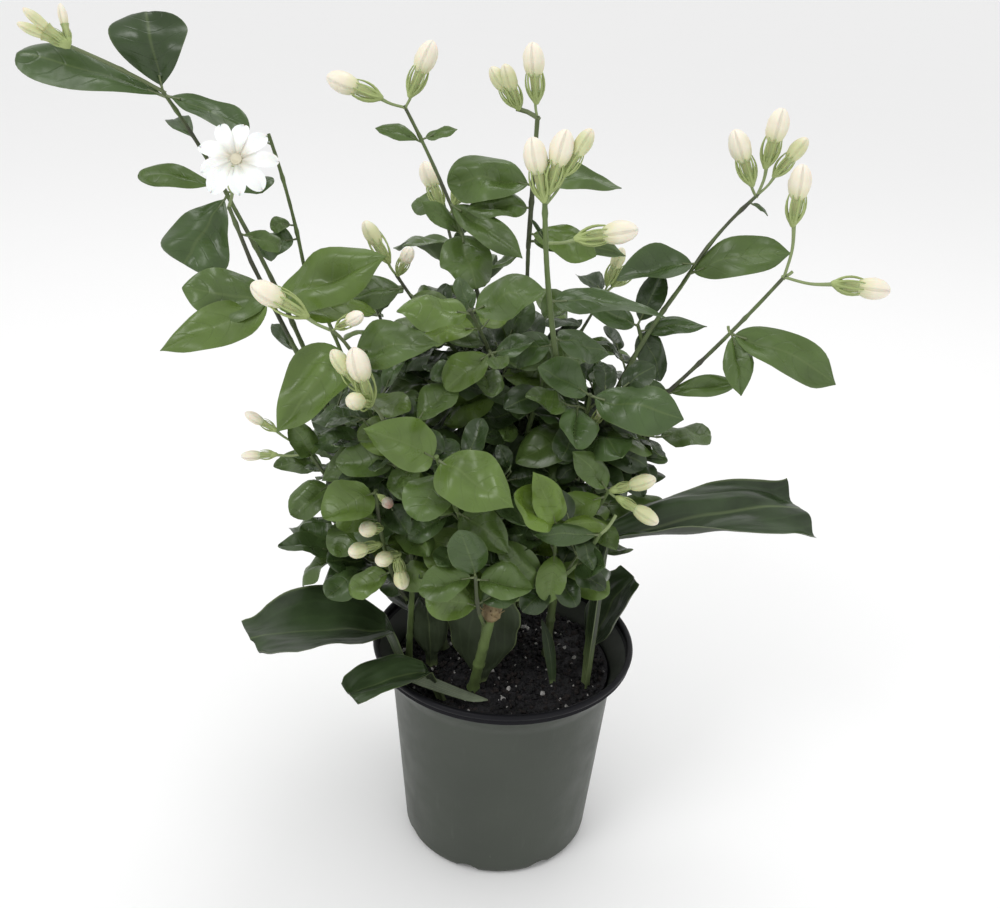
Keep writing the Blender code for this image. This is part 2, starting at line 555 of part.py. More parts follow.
def pot_profile():
    """The pot's wall from the middle of its floor, up the inside, over the rim and down the outside."""
    corner = [(FOOT_RADIUS - FOOT_CORNER * (1 - math.sin(angle)), FOOT_CORNER * (1 - math.cos(angle)))
              for angle in (math.radians(step) for step in (0, 30, 60, 90))]
    flare = []
    for step in range(FLARE_STEPS + 1):
        share = step / FLARE_STEPS
        radius = SHOULDER_RADIUS + (RIM_RADIUS - SHOULDER_RADIUS) * share ** 1.5
        flare.append((radius, SHOULDER_HEIGHT + (POT_HEIGHT - RIM_ROLL - SHOULDER_HEIGHT) * share))
    lip = [(RIM_RADIUS, POT_HEIGHT - RIM_ROLL * 0.3), (RIM_RADIUS - RIM_ROLL * 0.4, POT_HEIGHT)]
    outside = corner + flare + lip
    inside = [(radius - POT_WALL, max(height, POT_WALL)) for radius, height in corner[2:] + flare]
    inside.append((RIM_RADIUS - RIM_ROLL * 0.9, POT_HEIGHT - RIM_ROLL * 0.25))
    inside[0] = (FOOT_RADIUS - FOOT_CORNER, POT_WALL)
    return [(0, POT_WALL)] + inside + outside[::-1] + [(0, 0)]


def soil_profile():
    """The soil that fills the pot, clear of its wall and level where the stems stand."""
    slope = (SHOULDER_RADIUS - FOOT_RADIUS) / (SHOULDER_HEIGHT - FOOT_CORNER)
    inset = POT_WALL + GAP * 1.5
    low = FOOT_CORNER + 1 * MM
    edge = SOIL_HEIGHT - SOIL_EDGE_DROP
    return [
        (0, POT_WALL + GAP), (FOOT_RADIUS - FOOT_CORNER - inset, POT_WALL + GAP),
        (FOOT_RADIUS - inset, low), (SHOULDER_RADIUS - inset - slope * 2 * MM, SHOULDER_HEIGHT - 2 * MM),
        (SHOULDER_RADIUS - inset, edge), (SOIL_FLAT_RADIUS, SOIL_HEIGHT), (0, SOIL_HEIGHT),
    ]


def limb_paths():
    """Each limb's path, from the named limbs."""
    paths = {}
    for limb in LIMBS:
        tip = Vector(limb.tip) * MM
        if limb.parent is None:
            start = Vector((limb.foot[0] * MM, limb.foot[1] * MM, SOIL_HEIGHT + GAP))
        else:
            point, _, _ = along(paths[limb.parent], limb.at)
            start = clear_start(paths[limb.parent], limb.at, tip - point, limb.radius * MM)
        path = curve(start, tip, limb.bow * MM, limb.radius * MM, limb.tip_radius * MM, LIMB_STEP)
        if limb.parent is None:
            collar = start + (path.points[1] - start).normalized() * FOOT_FLARE_HEIGHT
            path = Path([start, collar] + path.points[1:], [path.radii[0] * FOOT_FLARE] + path.radii)
        paths[limb.name] = path
    return paths


def basal_rows(basal):
    """An old leaf's rows of (step in mm, turn in degrees, half width), from its foot to the blade's end."""
    half = basal.width / 2 * MM
    pieces = 2 if basal.stalk > OLD_STALK_SPLIT_FROM else 1
    rows = [(0, 0, 0)]
    rows += [(basal.stalk / pieces, 0, half * OLD_STALK)] * pieces
    rows += [(basal.length * step, basal.curl / len(OLD_BLADE), half * spread) for step, spread in OLD_BLADE]
    for bent in (-len(OLD_BLADE) - 1, -len(OLD_BLADE)):
        step, turn, spread = rows[bent]
        rows[bent] = (step, turn + basal.bend / 2, spread)
    return rows


def basal_shells(basal):
    """A broad leaf from the soil, by node name: a straight stalk, a bend, then a curling blade."""
    aim = compass(basal.heading, basal.rise)
    side = compass(basal.heading - 90, 0)
    point = Vector((basal.foot[0], basal.foot[1], 0)) * MM
    point.z = SOIL_HEIGHT + GAP * 1.5
    depth = max(basal.length * MM * OLD_LEAF_DEPTH, OLD_LEAF_LEAST_DEPTH)
    rings, aims = [], []
    for step, turn, spread in basal_rows(basal):
        point = point + aim * step * MM
        aim = Matrix.Rotation(math.radians(-turn), 3, side) @ aim
        aims.append(aim)
        normal = side.cross(aim)
        if step == 0:
            flat = compass(basal.heading, 0) * depth * 1.4
            rings.append((point - side * depth * 1.2, point + side * depth * 1.2, point + flat))
        else:
            lift = normal * spread * OLD_LEAF_FOLD
            rings.append((point - side * spread + lift, point + side * spread + lift, point - normal * depth))
    tip = point + aim * basal.length * OLD_BLADE_TIP * MM
    if basal.stalk <= OLD_STALK_SPLIT_FROM:
        return {basal.name: ribbon(rings, tip)}
    bend = len(rings) - len(OLD_BLADE) - 1
    first = tuple(corner + aims[bend] * GAP for corner in rings[bend])
    return {f"{basal.name}_stalk": ribbon(rings[:bend + 1]),
            f"{basal.name}_blade": ribbon([first] + rings[bend + 1:], tip)}


def start_shoot(shoot, paths, crowd):
    """Starts a named mass of foliage: its main twig, its flower stalks and what ends them."""
    mass = Mass(shoot.name, crowd)
    limb = paths[shoot.limb]
    point, _, radius = along(limb, shoot.at)
    wide = min(TWIG_RADIUS, radius)
    tip = Vector(shoot.tip) * MM
    start = clear_start(limb, shoot.at, tip - point, wide)
    mass.path = curve(start, tip, shoot.bow * MM, wide, TWIG_TIP_RADIUS, TWIG_STEP)
    mass.add_twig(mass.path)
    for share, *stalk in shoot.stalks:
        mass.add_cyme(along(mass.path, min(share, TWIG_END))[0], (stalk,))
    return mass


def leaf_shoot(shoot, mass):
    """Adds a named mass's leaves, one by one or by the seeded rule."""
    for share, clock, lean, size, width in shoot.blades:
        root, _, _ = along(mass.path, min(share, TWIG_END))
        mass.add_leaf(root, direction(clock, lean), size * MM, width * MM)
    if not shoot.blades:
        mass.add_pairs(mass.path, FIRST_PAIR)


def grow_spray(number, spray, paths, crowd):
    """Grows a side spray. It turns and shortens until its main twig has room."""
    mass = Mass(f"{spray.limb}_spray_{number}", crowd)
    limb = paths[spray.limb]
    wide = min(TWIG_RADIUS, along(limb, spray.at)[2])
    for attempt in range(SPRAY_TRIES):
        heading = spray.heading + mass.random.uniform(-SPRAY_TRY_TURN, SPRAY_TRY_TURN) * attempt
        rise = SPRAY_RISE + mass.random.uniform(-SPRAY_TRY_RISE, SPRAY_TRY_RISE) * attempt
        aim = compass(heading, rise)
        start = clear_start(limb, spray.at, aim, wide)
        tip = start + aim * spray.length * MM * (1 - SPRAY_TRY_SHRINK * attempt)
        path = curve(start, tip, SPRAY_BOW, wide, TWIG_TIP_RADIUS, TWIG_STEP)
        test = [start.lerp(path.points[1], 0.4)] + path.points[1:]
        if crowd.free(tube(test, [radius + CLEARANCE for radius in path.radii], TWIG_SIDES)):
            break
    else:
        raise RuntimeError(f"{mass.name} finds no room")
    mass.path = path
    mass.add_twig(path)
    mass.add_side_twigs(path)
    mass.add_pairs(path, FIRST_PAIR)
    return mass


def grow():
    """Grows the whole plant: its limbs' paths, its old leaves and its masses of foliage."""
    crowd = Crowd()
    crowd.add(turned(pot_profile(), POT_SEGMENTS))
    crowd.add(turned(soil_profile(), POT_SEGMENTS))
    paths = limb_paths()
    for path in paths.values():
        crowd.add(tube(path.points, path.radii, LIMB_SIDES))
    old_leaves = {name: shell for basal in BASALS for name, shell in basal_shells(basal).items()}
    for shell in old_leaves.values():
        crowd.add(shell)
    masses = [start_shoot(shoot, paths, crowd) for shoot in SHOOTS]
    for shoot, mass in zip(SHOOTS, masses):
        leaf_shoot(shoot, mass)
    masses += [grow_spray(number, spray, paths, crowd) for number, spray in enumerate(SPRAYS, 1)]
    return paths, old_leaves, masses


def material(name, colour, roughness):
    made = bpy.data.materials.new(name)
    made.use_nodes = True
    shader = made.node_tree.nodes["Principled BSDF"]
    shader.inputs["Base Color"].default_value = (*colour, 1)
    shader.inputs["Roughness"].default_value = roughness
    return made


def solid(name, shell, finish):
    """An object whose mesh is one closed shell with its faces pointing out."""
    form = bmesh.new()
    corners = [form.verts.new(point) for point in shell.vertices]
    for face in shell.faces:
        form.faces.new([corners[index] for index in face])
    bmesh.ops.recalc_face_normals(form, faces=form.faces)
    mesh = bpy.data.meshes.new(name)
    form.to_mesh(mesh)
    form.free()
    mesh.materials.append(finish)
    made = bpy.data.objects.new(name, mesh)
    bpy.context.scene.collection.objects.link(made)
    return made


def fused(name, shells, finish):
    """One object from overlapping shells, joined by one Boolean union that is then applied."""
    made = solid(name, shells[0], finish)
    group = bpy.data.collections.new(f"{name}_pieces")
    bpy.context.scene.collection.children.link(group)
    for number, shell in enumerate(shells[1:]):
        piece = solid(f"{name}_piece_{number}", shell, finish)
        bpy.context.scene.collection.objects.unlink(piece)
        group.objects.link(piece)
    union = made.modifiers.new("union", "BOOLEAN")
    union.operation = "UNION"
    union.operand_type = "COLLECTION"
    union.collection = group
    union.solver = "EXACT"
    bpy.context.view_layer.update()
    evaluated = made.evaluated_get(bpy.context.evaluated_depsgraph_get())
    joined = bpy.data.meshes.new_from_object(evaluated)
    made.modifiers.clear()
    made.data = joined
    for piece in list(group.objects):
        bpy.data.objects.remove(piece)
    bpy.data.collections.remove(group)
    return made


def smooth(made, angle):
    made.data.shade_smooth()
    made.data.set_sharp_from_angle(angle=math.radians(angle))


def notch_cutter(number):
    """A short bar across the foot of the pot that cuts one drainage notch."""
    form = bmesh.new()
    angle = NOTCH_TURN + 2 * math.pi * number / NOTCH_COUNT
    reach = FOOT_RADIUS - NOTCH_DEPTH / 2 + 4 * MM
    place = Matrix.Rotation(angle, 4, "Z") @ Matrix.Translation((reach, 0, -NOTCH_DROP))
    bmesh.ops.create_cone(form, cap_ends=True, segments=16, radius1=NOTCH_RADIUS, radius2=NOTCH_RADIUS,
                          depth=NOTCH_DEPTH + 8 * MM, matrix=place @ Matrix.Rotation(math.pi / 2, 4, "Y"))
    mesh = bpy.data.meshes.new(f"notch_cutter_{number}")
    form.to_mesh(mesh)
    form.free()
    made = bpy.data.objects.new(mesh.name, mesh)
    made.hide_render = True
    made.display_type = "WIRE"
    return made


def make_pot():
    plastic = material("pot_plastic", (0.065, 0.075, 0.066), 0.45)
    pot = solid("pot", turned(pot_profile(), POT_SEGMENTS), plastic)
    cutters = bpy.data.collections.new("notch_cutters")
    cutters.hide_render = True
    bpy.context.scene.collection.children.link(cutters)
    for number in range(NOTCH_COUNT):
        cutters.objects.link(notch_cutter(number))
    cut = pot.modifiers.new("notches", "BOOLEAN")
    cut.operation = "DIFFERENCE"
    cut.operand_type = "COLLECTION"
    cut.collection = cutters
    cut.solver = "EXACT"
    smooth(pot, 40)


def main():
    for old in list(bpy.data.objects):
        bpy.data.objects.remove(old)
    bark = material("stem_bark", (0.10, 0.13, 0.05), 0.7)
    leaf = material("leaf_green", (0.07, 0.14, 0.035), 0.4)
    old_leaf = material("old_leaf_green", (0.03, 0.07, 0.025), 0.35)
    make_pot()
    soil = solid("soil", turned(soil_profile(), POT_SEGMENTS), material("peat", (0.02, 0.016, 0.014), 0.95))
    smooth(soil, 40)
    paths, old_leaves, masses = grow()
    for limb in LIMBS:
        path = paths[limb.name]
        smooth(solid(limb.name, tube(path.points, path.radii, LIMB_SIDES, limb.parent is None), bark), 50)
    for name, shell in old_leaves.items():
        solid(name, shell, old_leaf)
    for mass in masses:
        fused(mass.name, mass.shells, leaf)


if __name__ == "__main__":
    main()
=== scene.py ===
"""Looks of the potted jasmine: bark, leaves, buds, flower, old leaves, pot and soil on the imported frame.

The part's growth rule is repeated here, so that each leaf grows where the solids have it, and is then
carried on to smaller leaves and twigs inside the crown. +Z is up and the plant's front faces -Y.
"""

import collections
import functools
import json
import math
import random

import bmesh
import bpy
from mathutils import Matrix, Vector, noise
from mathutils.bvhtree import BVHTree

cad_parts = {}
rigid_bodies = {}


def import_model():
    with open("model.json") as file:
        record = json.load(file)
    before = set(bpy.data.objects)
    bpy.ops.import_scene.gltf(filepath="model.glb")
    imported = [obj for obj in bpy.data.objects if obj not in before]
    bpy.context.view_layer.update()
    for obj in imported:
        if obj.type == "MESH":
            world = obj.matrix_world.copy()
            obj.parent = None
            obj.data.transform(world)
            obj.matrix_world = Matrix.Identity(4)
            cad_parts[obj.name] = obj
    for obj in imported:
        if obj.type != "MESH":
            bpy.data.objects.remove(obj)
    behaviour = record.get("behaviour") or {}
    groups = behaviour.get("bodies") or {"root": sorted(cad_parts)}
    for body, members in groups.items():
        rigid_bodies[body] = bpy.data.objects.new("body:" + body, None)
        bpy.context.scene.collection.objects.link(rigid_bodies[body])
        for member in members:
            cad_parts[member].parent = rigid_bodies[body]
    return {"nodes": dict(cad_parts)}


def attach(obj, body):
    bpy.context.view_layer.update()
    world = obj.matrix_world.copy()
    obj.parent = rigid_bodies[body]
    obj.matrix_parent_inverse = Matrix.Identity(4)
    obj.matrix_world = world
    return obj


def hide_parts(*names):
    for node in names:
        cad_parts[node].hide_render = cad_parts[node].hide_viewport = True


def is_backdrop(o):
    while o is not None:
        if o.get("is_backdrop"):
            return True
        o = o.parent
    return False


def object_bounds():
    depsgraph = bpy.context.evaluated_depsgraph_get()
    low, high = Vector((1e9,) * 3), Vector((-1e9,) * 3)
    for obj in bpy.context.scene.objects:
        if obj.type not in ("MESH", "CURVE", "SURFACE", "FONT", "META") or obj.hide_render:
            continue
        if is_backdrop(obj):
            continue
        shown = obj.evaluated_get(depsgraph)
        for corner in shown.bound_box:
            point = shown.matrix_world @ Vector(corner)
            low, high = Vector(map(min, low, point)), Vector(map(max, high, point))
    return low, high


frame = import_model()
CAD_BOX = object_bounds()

bl_info = {
    "name": "Potted jasmine",
    "version": (1, 0, 0),
    "blender": (4, 5, 0),
    "location": "3D View > Sidebar > Jasmine",
    "description": "Grows the leaves, bark, buds and flower of a jasmine in a nursery pot",
    "category": "Add Mesh",
}

SENSOR = 36

MM = 0.001
GAP = 0.3 * MM
UP = Vector((0, 0, 1))
FRONT = Vector((0, -1, 0))

# The pot, turned about +Z
POT_HEIGHT = 98 * MM
RIM_RADIUS = 57 * MM
RIM_ROLL = 2.6 * MM
SHOULDER_RADIUS = 48.6 * MM
SHOULDER_HEIGHT = 82 * MM
FOOT_RADIUS = 42 * MM
FOOT_CORNER = 4 * MM
POT_WALL = 1.2 * MM
POT_SEGMENTS = 36
POT_FINE_SEGMENTS = 144
FLARE_STEPS = 4
NOTCH_COUNT = 8
NOTCH_RADIUS = 6.5 * MM
NOTCH_DROP = 2.5 * MM
NOTCH_DEPTH = 6 * MM
NOTCH_TURN = math.radians(-106)

# The potting soil
SOIL_HEIGHT = 86 * MM
SOIL_EDGE_DROP = 1.5 * MM
SOIL_FLAT_RADIUS = 45 * MM

# Limbs
LIMB_SIDES = 6
LIMB_STEP = 16 * MM
FOOT_FLARE = 1.35
FOOT_FLARE_HEIGHT = 6 * MM

# Twigs and flower stalks
TWIG_SIDES = 3
TWIG_STEP = 13 * MM
TWIG_RADIUS = 0.85 * MM
TWIG_TIP_RADIUS = 0.7 * MM
TWIG_END = 0.985
STALK_RADIUS = 0.65 * MM
STALK_BOW = 0.6 * MM
CLEARANCE = 0.45 * MM

# Leaves: half widths along the blade, as (share of the length, share of the half width)
LONG_BLADE = ((0.0, 0.07), (0.34, 1.0), (0.70, 0.74))
SHORT_BLADE = ((0.0, 0.08), (0.42, 1.0))
LONG_BLADE_FROM = 25 * MM
LEAF_STALK = 4.5 * MM
LEAF_STALK_RADIUS = 0.45 * MM
LEAF_DEPTH = 1 / 55
LEAST_DEPTH = 0.55 * MM
LEAF_CURL = math.radians(28)
LEAF_TRIES = 9
LEAF_TRY_TURN = math.radians(11)
LEAF_TRY_SHRINK = 0.04
FRONT_LIGHT = Vector((0, -0.85, 1))
SKY_LIGHT = Vector((0, -0.2, 1))
OUTWARD_LIGHT = 0.45

# Buds: (height, radius) up one bud from the end of its stalk, and the open flower
BUD_SIDES = 5
BUD_PROFILE = ((1.0, 2.3), (6.8, 1.7), (11.8, 4.2), (16.6, 3.4))
BUD_LENGTH = 20
BUD_SIZES = {"bud": 1.0, "slim_bud": 0.82, "small_bud": 0.62, "tiny_bud": 0.42, "none": 1.0, "bloom": 1.0}
PETAL_COUNT = 8
BLOOM_RADIUS = 14.5 * MM
BLOOM_THROAT = 4.5 * MM
BLOOM_DEPTH = 0.9 * MM

# The seeded rule for leafy twigs
CROWN_AXIS = Vector((-12, 6, 0)) * MM
FIRST_PAIR = 9 * MM
PAIR_STEP = 12.9 * MM
PAIR_OPEN = math.radians(64)
LOW_LEAF = (21 * MM, 0.84)
HIGH_LEAF = (33 * MM, 0.62)
LOW_CROWN = 130 * MM
HIGH_CROWN = 270 * MM
SPRAY_RISE = 32
SPRAY_BOW = 2 * MM
SPRAY_TRIES = 8
SPRAY_TRY_TURN = 12
SPRAY_TRY_RISE = 4
SPRAY_TRY_SHRINK = 0.05
SIDE_TWIG = 19 * MM
SIDE_TWIG_OPEN = math.radians(48)
SIDE_TWIG_PLACES = ((0.42, 1), (0.66, -1))
PAIR_TURN = 90
END_MARGIN = 3 * MM

# Old leaves from the soil: (share of the length, share of the half width) of each piece of the blade.
# One whose stalk is longer than OLD_STALK_SPLIT_FROM, in millimetres, is two solids that meet at its bend.
OLD_BLADE = ((0.08, 0.45), (0.18, 0.86), (0.22, 1.0), (0.22, 0.96), (0.19, 0.72))
OLD_BLADE_TIP = 0.11
OLD_STALK = 0.28
OLD_STALK_SPLIT_FROM = 30
OLD_LEAF_DEPTH = 1 / 60
OLD_LEAF_LEAST_DEPTH = 0.9 * MM
OLD_LEAF_FOLD = 0.25

Limb = collections.namedtuple("Limb", "name parent at foot tip bow radius tip_radius")
Shoot = collections.namedtuple("Shoot", "name limb at tip bow blades stalks")
Spray = collections.namedtuple("Spray", "limb at heading length")
Basal = collections.namedtuple("Basal", "name foot heading rise stalk length width bend curl")
Path = collections.namedtuple("Path", "points radii")
Leaf = collections.namedtuple("Leaf", "root out face length width curl stalk")
Shell = collections.namedtuple("Shell", "vertices faces")

# Limbs, in millimetres. One with no parent stands on the soil at foot = (x, y). Any other leaves its
# parent at that share of its length. bow lifts the middle of the limb off the straight line.

LIMBS = (
    Limb("stem_left", None, 0, (-26, 6), (-66, 4, 170), 4, 1.9, 1.3),
    Limb("stem_front", None, 0, (-12, -23), (-5, -38, 137), 0, 2.2, 2.0),
    Limb("stem_left_green", None, 0, (-41, -6), (-38, -24, 140), 1, 1.5, 1.1),
    Limb("stem_centre", None, 0, (2, 10), (4, 12, 196), 3, 2.1, 1.4),
    Limb("stem_right", None, 0, (20, 4), (32, 0, 188), 3, 1.9, 1.3),
    Limb("stem_back", None, 0, (-6, 32), (-18, 54, 188), 3, 1.9, 1.3),
    Limb("bough_left_long", "stem_left", 1.0, None, (-111, 10, 281), 3.5, 1.1, 0.85),
    Limb("bough_left_flower", "stem_left", 0.84, None, (-100, -10, 264), -0.5, 1.05, 0.8),
    Limb("bough_left_back", "stem_left", 0.6, None, (-88, 32, 250), 4, 0.95, 0.75),
    Limb("bough_top_left", "stem_centre", 0.78, None, (-22, 34, 262), 2, 1.05, 0.8),
    Limb("bough_top_middle", "stem_centre", 1.0, None, (3, 38, 262), -2, 1.05, 0.8),
    Limb("bough_top_front", "stem_centre", 0.62, None, (14, -22, 236), 7, 1.1, 0.95),
    Limb("bough_right_high", "stem_right", 1.0, None, (64, 18, 254), 4, 1.15, 0.85),
    Limb("bough_right_low", "stem_right", 0.90, None, (56, -4, 213), 0, 1.15, 0.9),
)

# Shoots that show one by one, in millimetres. A blade is (share of the shoot, clock direction seen from
# the front, lean towards the front, length, width), in degrees. A flower stalk is (share of the shoot,
# clock direction, lean, length, what ends it). A shoot with no blades follows the seeded rule.
SHOOTS = (
    Shoot("left_long_shoot", "bough_left_long", 1.0, (-134, 10, 321), 1,
          ((0.06, 214, 22, 27, 28), (0.08, 73, -19, 15, 11), (0.14, 280, 12, 27, 14),
           (0.54, 308, -35, 14, 10), (0.95, 97, 17, 30, 15), (0.94, 289, 0, 51, 17), (1.0, 352, 0, 24, 28)),
          ((1.0, 297, 14, 35, ((293, 6, 2, "slim_bud"), (314, 16, 2, "slim_bud"),
                               (350, -9, 2, "small_bud"))),)),
    Shoot("left_flower_shoot", "bough_left_flower", 1.0, (-107, -10, 284), 0,
          ((0.5, 110, -30, 14, 9),), ((1.0, 13, 5, 9, "bloom"),)),
    Shoot("left_back_shoot", "bough_left_back", 1.0, (-100, 30, 304), 1,
          ((0.23, 264, 20, 13, 17), (0.33, 281, 20, 6, 8), (0.92, 294, -20, 5, 5)), ()),
    Shoot("left_node_shoot", "bough_left_flower", 0.84, (-92, -15, 250), 0,
          ((0.9, 284, 10, 30, 22), (1.0, 251, 26, 40, 18), (0.4, 57, 15, 46, 23), (0.6, 84, -2, 36, 18)), ()),
    Shoot("left_mid_shoot", "stem_left", 0.72, (-60, -34, 240), 3,
          ((0.45, 262, 30, 22, 15), (0.75, 80, 45, 18, 14), (0.97, 236, 32, 36, 28), (0.99, 72, 22, 30, 20)),
          ((1.0, 319, 5, 12, ((301, 4, 12, "bud"), (54, 25, 4, "small_bud"))),)),
    Shoot("left_bud_shoot", "stem_left_green", 1.0, (-47, -46, 218), 4,
          ((0.35, 100, 20, 19, 16), (0.40, 262, 20, 19, 16), (0.66, 110, 28, 22, 16),
           (0.70, 285, 10, 20, 15)),
          ((1.0, 327, 6, 10, ((345, 4, 2, "bud"), (324, -5, 7, "slim_bud"), (330, 62, 4, "slim_bud"))),)),
    Shoot("left_low_shoot", "stem_left", 0.62, (-81, -20, 195), -2,
          ((0.30, 120, 40, 18, 15), (0.45, 207, 58, 17, 15), (0.70, 252, 42, 17, 17),
           (0.90, 330, 10, 18, 13)),
          ((1.0, 303, 5, 14, "small_bud"), (0.94, 267, 6, 14, "small_bud"))),
    Shoot("left_front_shoot", "stem_left_green", 0.80, (-50, -46, 190), -5,
          ((0.30, 60, 30, 13, 13), (0.36, 250, 20, 15, 14), (0.60, 100, 35, 15, 14), (0.80, 278, 36, 15, 14),
           (1.0, 265, 40, 18, 20)),
          ((0.98, 100, 50, 3, "tiny_bud"), (0.74, 310, 55, 1, "slim_bud"), (0.62, 270, 35, 3, "slim_bud"),
           (0.5, 55, 30, 7, ((290, 55, 0, "slim_bud"), (166, 20, 2, "slim_bud"))))),
    Shoot("stub_shoot", "stem_front", 1.0, (34, -46, 176), -6,
          ((0.40, 327, 20, 25, 14), (0.45, 246, 48, 12, 11), (0.68, 105, 35, 11, 11), (0.70, 340, 15, 20, 16),
           (1.0, 282, 15, 24, 10)), ((1.0, 32, 0, 10, "none"),)),
    Shoot("stub_left_shoot", "stem_front", 0.88, (-12, -54, 160), -3,
          ((0.5, 303, 26, 18, 16), (0.55, 60, -10, 17, 14), (1.0, 262, 10, 18, 15), (0.95, 75, 25, 18, 15),
           (1.0, 350, 20, 20, 15)), ()),
    Shoot("front_light_shoot", "stem_right", 0.42, (17, -48, 180), -4,
          ((0.5, 260, 20, 20, 17), (0.55, 95, 20, 20, 16), (0.75, 185, 50, 17, 12), (1.0, 346, 20, 22, 14),
           (1.0, 322, 30, 24, 20), (0.97, 56, 12, 24, 10)), ()),
    Shoot("centre_front_shoot", "stem_centre", 0.36, (-27, -60, 211), -4,
          ((0.35, 290, 20, 20, 17), (0.40, 75, 20, 20, 17), (0.60, 228, 45, 17, 17), (0.70, 106, 25, 22, 17),
           (0.93, 216, 56, 17, 18), (1.0, 307, 18, 25, 20), (1.0, 102, 37, 29, 23)), ()),
    Shoot("top_low_shoot", "bough_top_left", 0.42, (-48, 6, 257), -2,
          ((0.5, 70, 20, 22, 17), (0.55, 250, 0, 22, 15), (0.85, 108, 30, 20, 14), (0.9, 262, 10, 28, 17)),
          ((1.0, 329, 0, 8, "slim_bud"), (1.0, 24, 16, 2, "small_bud"))),
    Shoot("top_left_shoot", "bough_top_left", 1.0, (-48, 36, 316), 1,
          ((0.08, 314, 7, 17, 9), (0.10, 160, 54, 24, 21), (0.30, 110, 37, 35, 14), (0.74, 295, 6, 16, 8),
           (0.76, 64, 6, 11, 6)),
          ((1.0, 289, 0, 12, "bud"), (1.0, 23, 0, 7, "bud"))),
    Shoot("top_middle_shoot", "bough_top_middle", 1.0, (4, 38, 314), 0,
          ((0.04, 85, 8, 39, 15), (0.10, 87, 29, 26, 17), (0.30, 286, 26, 24, 15), (0.48, 283, 15, 31, 24),
           (0.50, 79, 13, 32, 19)),
          ((1.0, 353, 0, 8, "bud"), (1.0, 290, 0, 9, ((323, 0, 3, "slim_bud"), (339, 8, 2, "slim_bud"))))),
    Shoot("top_front_shoot", "bough_top_front", 1.0, (7, -20, 292), -1,
          ((0.08, 250, -20, 22, 14), (0.12, 110, -30, 26, 14), (0.37, 81, 12, 39, 13), (0.75, 330, 0, 6, 2)),
          ((1.0, 346, 0, 4, "bud"), (1.0, 13, 0, 7, "bud"), (1.0, 29, -4, 14, "slim_bud"),
           (0.75, 79, 0, 13, "bud"))),
    Shoot("top_inner_shoot", "stem_centre", 0.92, (-18, -26, 254), 3,
          ((0.4, 250, 20, 24, 16), (0.5, 100, 30, 26, 17), (0.97, 285, 20, 24, 17),
           (1.0, 55, 21, 26, 21)), ()),
    Shoot("right_high_shoot", "bough_right_high", 1.0, (90, 20, 291), 2,
          ((0.22, 274, 17, 29, 20), (0.12, 57, 24, 36, 19), (0.9, 110, -20, 8, 3)),
          ((0.97, 335, 0, 7, "bud"), (1.0, 9, 0, 13, "bud"), (1.0, 37, -4, 11, "slim_bud"))),
    Shoot("right_high_node_shoot", "bough_right_high", 0.66, (48, 16, 238), 0,
          ((0.5, 67, 10, 24, 10), (0.7, 131, 31, 21, 14), (0.9, 300, 20, 22, 14), (1.0, 20, 0, 20, 12)), ()),
    Shoot("right_low_shoot", "bough_right_low", 1.0, (100, 0, 265), -1,
          ((0.06, 66, 11, 26, 9), (0.10, 262, 0, 20, 13), (0.56, 101, 16, 43, 20), (0.57, 161, 35, 21, 13)),
          ((1.0, 1, 0, 22, "bud"), (1.0, 95, 0, 21, "bud"), (1.0, 60, -20, 4, "none"),
           (0.56, 340, 0, 3, "none"))),
    Shoot("right_front_shoot", "stem_right", 0.66, (37, -32, 187), -2,
          ((0.40, 250, 20, 20, 15), (0.55, 110, 10, 20, 14), (0.92, 262, 30, 20, 14), (1.0, 330, 10, 18, 12)),
          ((1.0, 64, 13, 3, "slim_bud"), (1.0, 114, 21, 6, "slim_bud"))),
    Shoot("right_inner_shoot", "stem_right", 0.86, (28, -22, 222), 2,
          ((0.4, 250, 20, 24, 16), (0.5, 95, 20, 24, 16), (1.0, 95, 24, 32, 22), (1.0, 290, 10, 26, 18)),
          ((0.55, 22, 30, 11, "small_bud"),)),
    Shoot("back_shoot", "stem_back", 1.0, (-34, 86, 262), 5, (),
          ((1.0, 335, -20, 8, "bud"), (1.0, 25, -20, 10, "bud"))),
    Shoot("back_left_shoot", "stem_back", 0.62, (-66, 88, 218), -4, (), ((1.0, 300, -20, 8, "bud"),)),
    Shoot("back_right_shoot", "stem_back", 0.78, (40, 84, 232), -4, (),
          ((1.0, 50, -20, 8, "bud"), (1.0, 20, -10, 6, "slim_bud"))),
)

# Side sprays by the seeded rule: the limb that carries each, where, its compass heading and its length.
SPRAYS = (
    Spray("stem_left", 0.50, 205, 40), Spray("stem_left", 0.80, 130, 40),
    Spray("stem_centre", 0.50, 30, 46), Spray("stem_centre", 0.58, 160, 48),
    Spray("stem_centre", 0.70, 235, 48), Spray("stem_centre", 0.86, 345, 46),
    Spray("stem_centre", 0.96, 190, 44),
    Spray("stem_right", 0.52, 70, 40), Spray("stem_back", 0.34, 120, 38), Spray("stem_back", 0.90, 150, 44),
)

# Broad old leaves that rise straight from the soil, in millimetres and degrees.
BASALS = (
    Basal("basal_leaf_left", (-40, -17), 200, 70, 25, 58, 44, 52, 26),
    Basal("basal_leaf_low_left", (-25, -31), 212, 66, 16, 36, 24, 48, 34),
    Basal("basal_leaf_front", (-9, -18), 268, 84, 4, 45, 30, -6, 8),
    Basal("basal_leaf_inner", (-31, -8), 262, 80, 6, 32, 16, 0, 6),
    Basal("basal_leaf_right", (36, -18), 12, 87, 68, 86, 32, 70, 22),
    Basal("basal_leaf_right_back", (38, 2), 20, 78, 8, 36, 28, 4, 24),
    Basal("basal_leaf_left_back", (-37, 17), 168, 68, 12, 46, 36, 10, 26),
    Basal("basal_leaf_back", (6, 42), 80, 64, 12, 60, 34, 14, 34),
)


